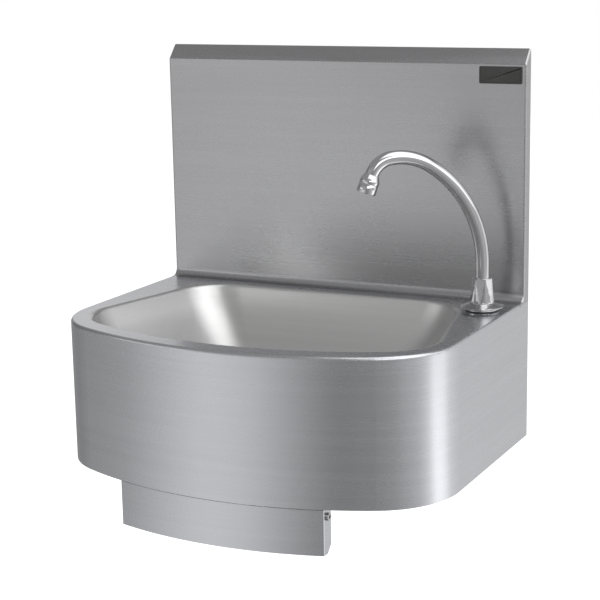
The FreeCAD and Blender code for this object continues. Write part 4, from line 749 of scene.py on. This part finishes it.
class SINK_OT_studio(bpy.types.Operator):
    """Set up the world, the floor, the walls that reflections see, the lamps and the camera"""
    bl_idname = "sink.studio"
    bl_label = "Studio"

    def execute(self, context):
        studio = context.scene.sink_studio
        scene = context.scene
        scene.view_settings.view_transform = "Standard"

        world = bpy.data.worlds.new("studio")
        scene.world = world
        world.use_nodes = True
        tree = world.node_tree
        tree.nodes.clear()
        rays = tree.nodes.new("ShaderNodeLightPath")
        seen = tree.nodes.new("ShaderNodeMath")
        seen.operation = "MAXIMUM"
        tree.links.new(rays.outputs["Is Camera Ray"], seen.inputs[0])
        tree.links.new(rays.outputs["Is Glossy Ray"], seen.inputs[1])
        through = tree.nodes.new("ShaderNodeMath")
        through.operation = "MAXIMUM"
        tree.links.new(seen.outputs[0], through.inputs[0])
        tree.links.new(rays.outputs["Is Transmission Ray"], through.inputs[1])
        level = tree.nodes.new("ShaderNodeMapRange")
        level.inputs["To Min"].default_value = studio.world_strength
        level.inputs["To Max"].default_value = 1.0
        tree.links.new(through.outputs[0], level.inputs["Value"])
        sky = tree.nodes.new("ShaderNodeBackground")
        sky.inputs["Color"].default_value = (1.0, 1.0, 1.0, 1.0)
        tree.links.new(level.outputs[0], sky.inputs["Strength"])
        output = tree.nodes.new("ShaderNodeOutputWorld")
        tree.links.new(sky.outputs[0], output.inputs["Surface"])

        nothing_selected()
        bpy.ops.mesh.primitive_plane_add(size=16.0, location=(0, 0, studio.floor_level))
        floor = bpy.context.object
        floor.name = "studio_floor"
        finish = Finish("pale_floor", Roughness=0.9, Specular_IOR_Level=0.0, Emission_Strength=1.0)
        camera_ray = finish.node("ShaderNodeLightPath", output="Is Camera Ray")
        glossy_ray = finish.node("ShaderNodeLightPath", output="Is Glossy Ray")
        speck = finish.noise((3.0, 3.0, 3.0), 2.0)
        finish.feed(Base_Color=finish.blend(speck, (0.86, 0.86, 0.86, 1.0), (0.88, 0.88, 0.88, 1.0)))
        finish.feed(Emission_Color=finish.maths("MAXIMUM", camera_ray, glossy_ray) * studio.floor_glow)
        floor.data.materials.append(finish.material)

        surround(studio)
        for name, centre, size in LAMPS:
            lamp(name, centre, size, studio.lamp_power)

        lens = bpy.data.cameras.new("photo_camera")
        lens.sensor_width = 36.0
        lens.lens = studio.lens
        camera = bpy.data.objects.new("photo_camera", lens)
        scene.collection.objects.link(camera)
        camera.matrix_world = camera_place(CAMERA_SPOT, CAMERA_YAW, CAMERA_PITCH, CAMERA_ROLL)
        scene.camera = camera
        return {"FINISHED"}


def camera_place(spot, yaw, pitch, roll):
    """Yaw turns from +Y towards +X, pitch lifts the view and roll turns the picture."""
    ahead = Vector((math.sin(yaw) * math.cos(pitch), math.cos(yaw) * math.cos(pitch), math.sin(pitch)))
    level = Vector((math.cos(yaw), -math.sin(yaw), 0.0))
    above = level.cross(ahead)
    right = level * math.cos(roll) + above * math.sin(roll)
    up = above * math.cos(roll) - level * math.sin(roll)
    turn = Matrix((right, up, -ahead)).transposed().to_4x4()
    return Matrix.Translation(spot) @ turn


# ---------------------------------------------------------------- panel and main


OPERATORS = (
    SINK_OT_sheet_steel,
    SINK_OT_supports,
    SINK_OT_spout,
    SINK_OT_tap,
    SINK_OT_plate,
    SINK_OT_waste,
    SINK_OT_valve,
    SINK_OT_seals,
    SINK_OT_fasteners,
    SINK_OT_studio,
)


class SINK_PT_sidebar(bpy.types.Panel):
    """The sink's pieces and their settings"""
    bl_idname = "SINK_PT_sidebar"
    bl_label = "Hand Wash Sink"
    bl_space_type = "VIEW_3D"
    bl_region_type = "UI"
    bl_category = "Sink"

    def draw(self, context):
        for operator in OPERATORS:
            self.layout.operator(operator.bl_idname)
        for name, group in SETTINGS:
            box = self.layout.box()
            for prop in group.__annotations__:
                box.prop(getattr(context.scene, name), prop)


def register():
    for name, group in SETTINGS:
        bpy.utils.register_class(group)
        setattr(bpy.types.Scene, name, PointerProperty(type=group))
    for operator in OPERATORS:
        bpy.utils.register_class(operator)
    bpy.utils.register_class(SINK_PT_sidebar)


def unregister():
    bpy.utils.unregister_class(SINK_PT_sidebar)
    for operator in reversed(OPERATORS):
        bpy.utils.unregister_class(operator)
    for name, group in reversed(SETTINGS):
        delattr(bpy.types.Scene, name)
        bpy.utils.unregister_class(group)


def main():
    register()
    bpy.ops.sink.sheet_steel()
    bpy.ops.sink.supports()
    bpy.ops.sink.spout()
    bpy.ops.sink.tap()
    bpy.ops.sink.plate()
    bpy.ops.sink.waste()
    bpy.ops.sink.valve()
    bpy.ops.sink.seals()
    bpy.ops.sink.fasteners()
    bpy.ops.sink.studio()
    nothing_selected()


if __name__ == "__main__":
    main()
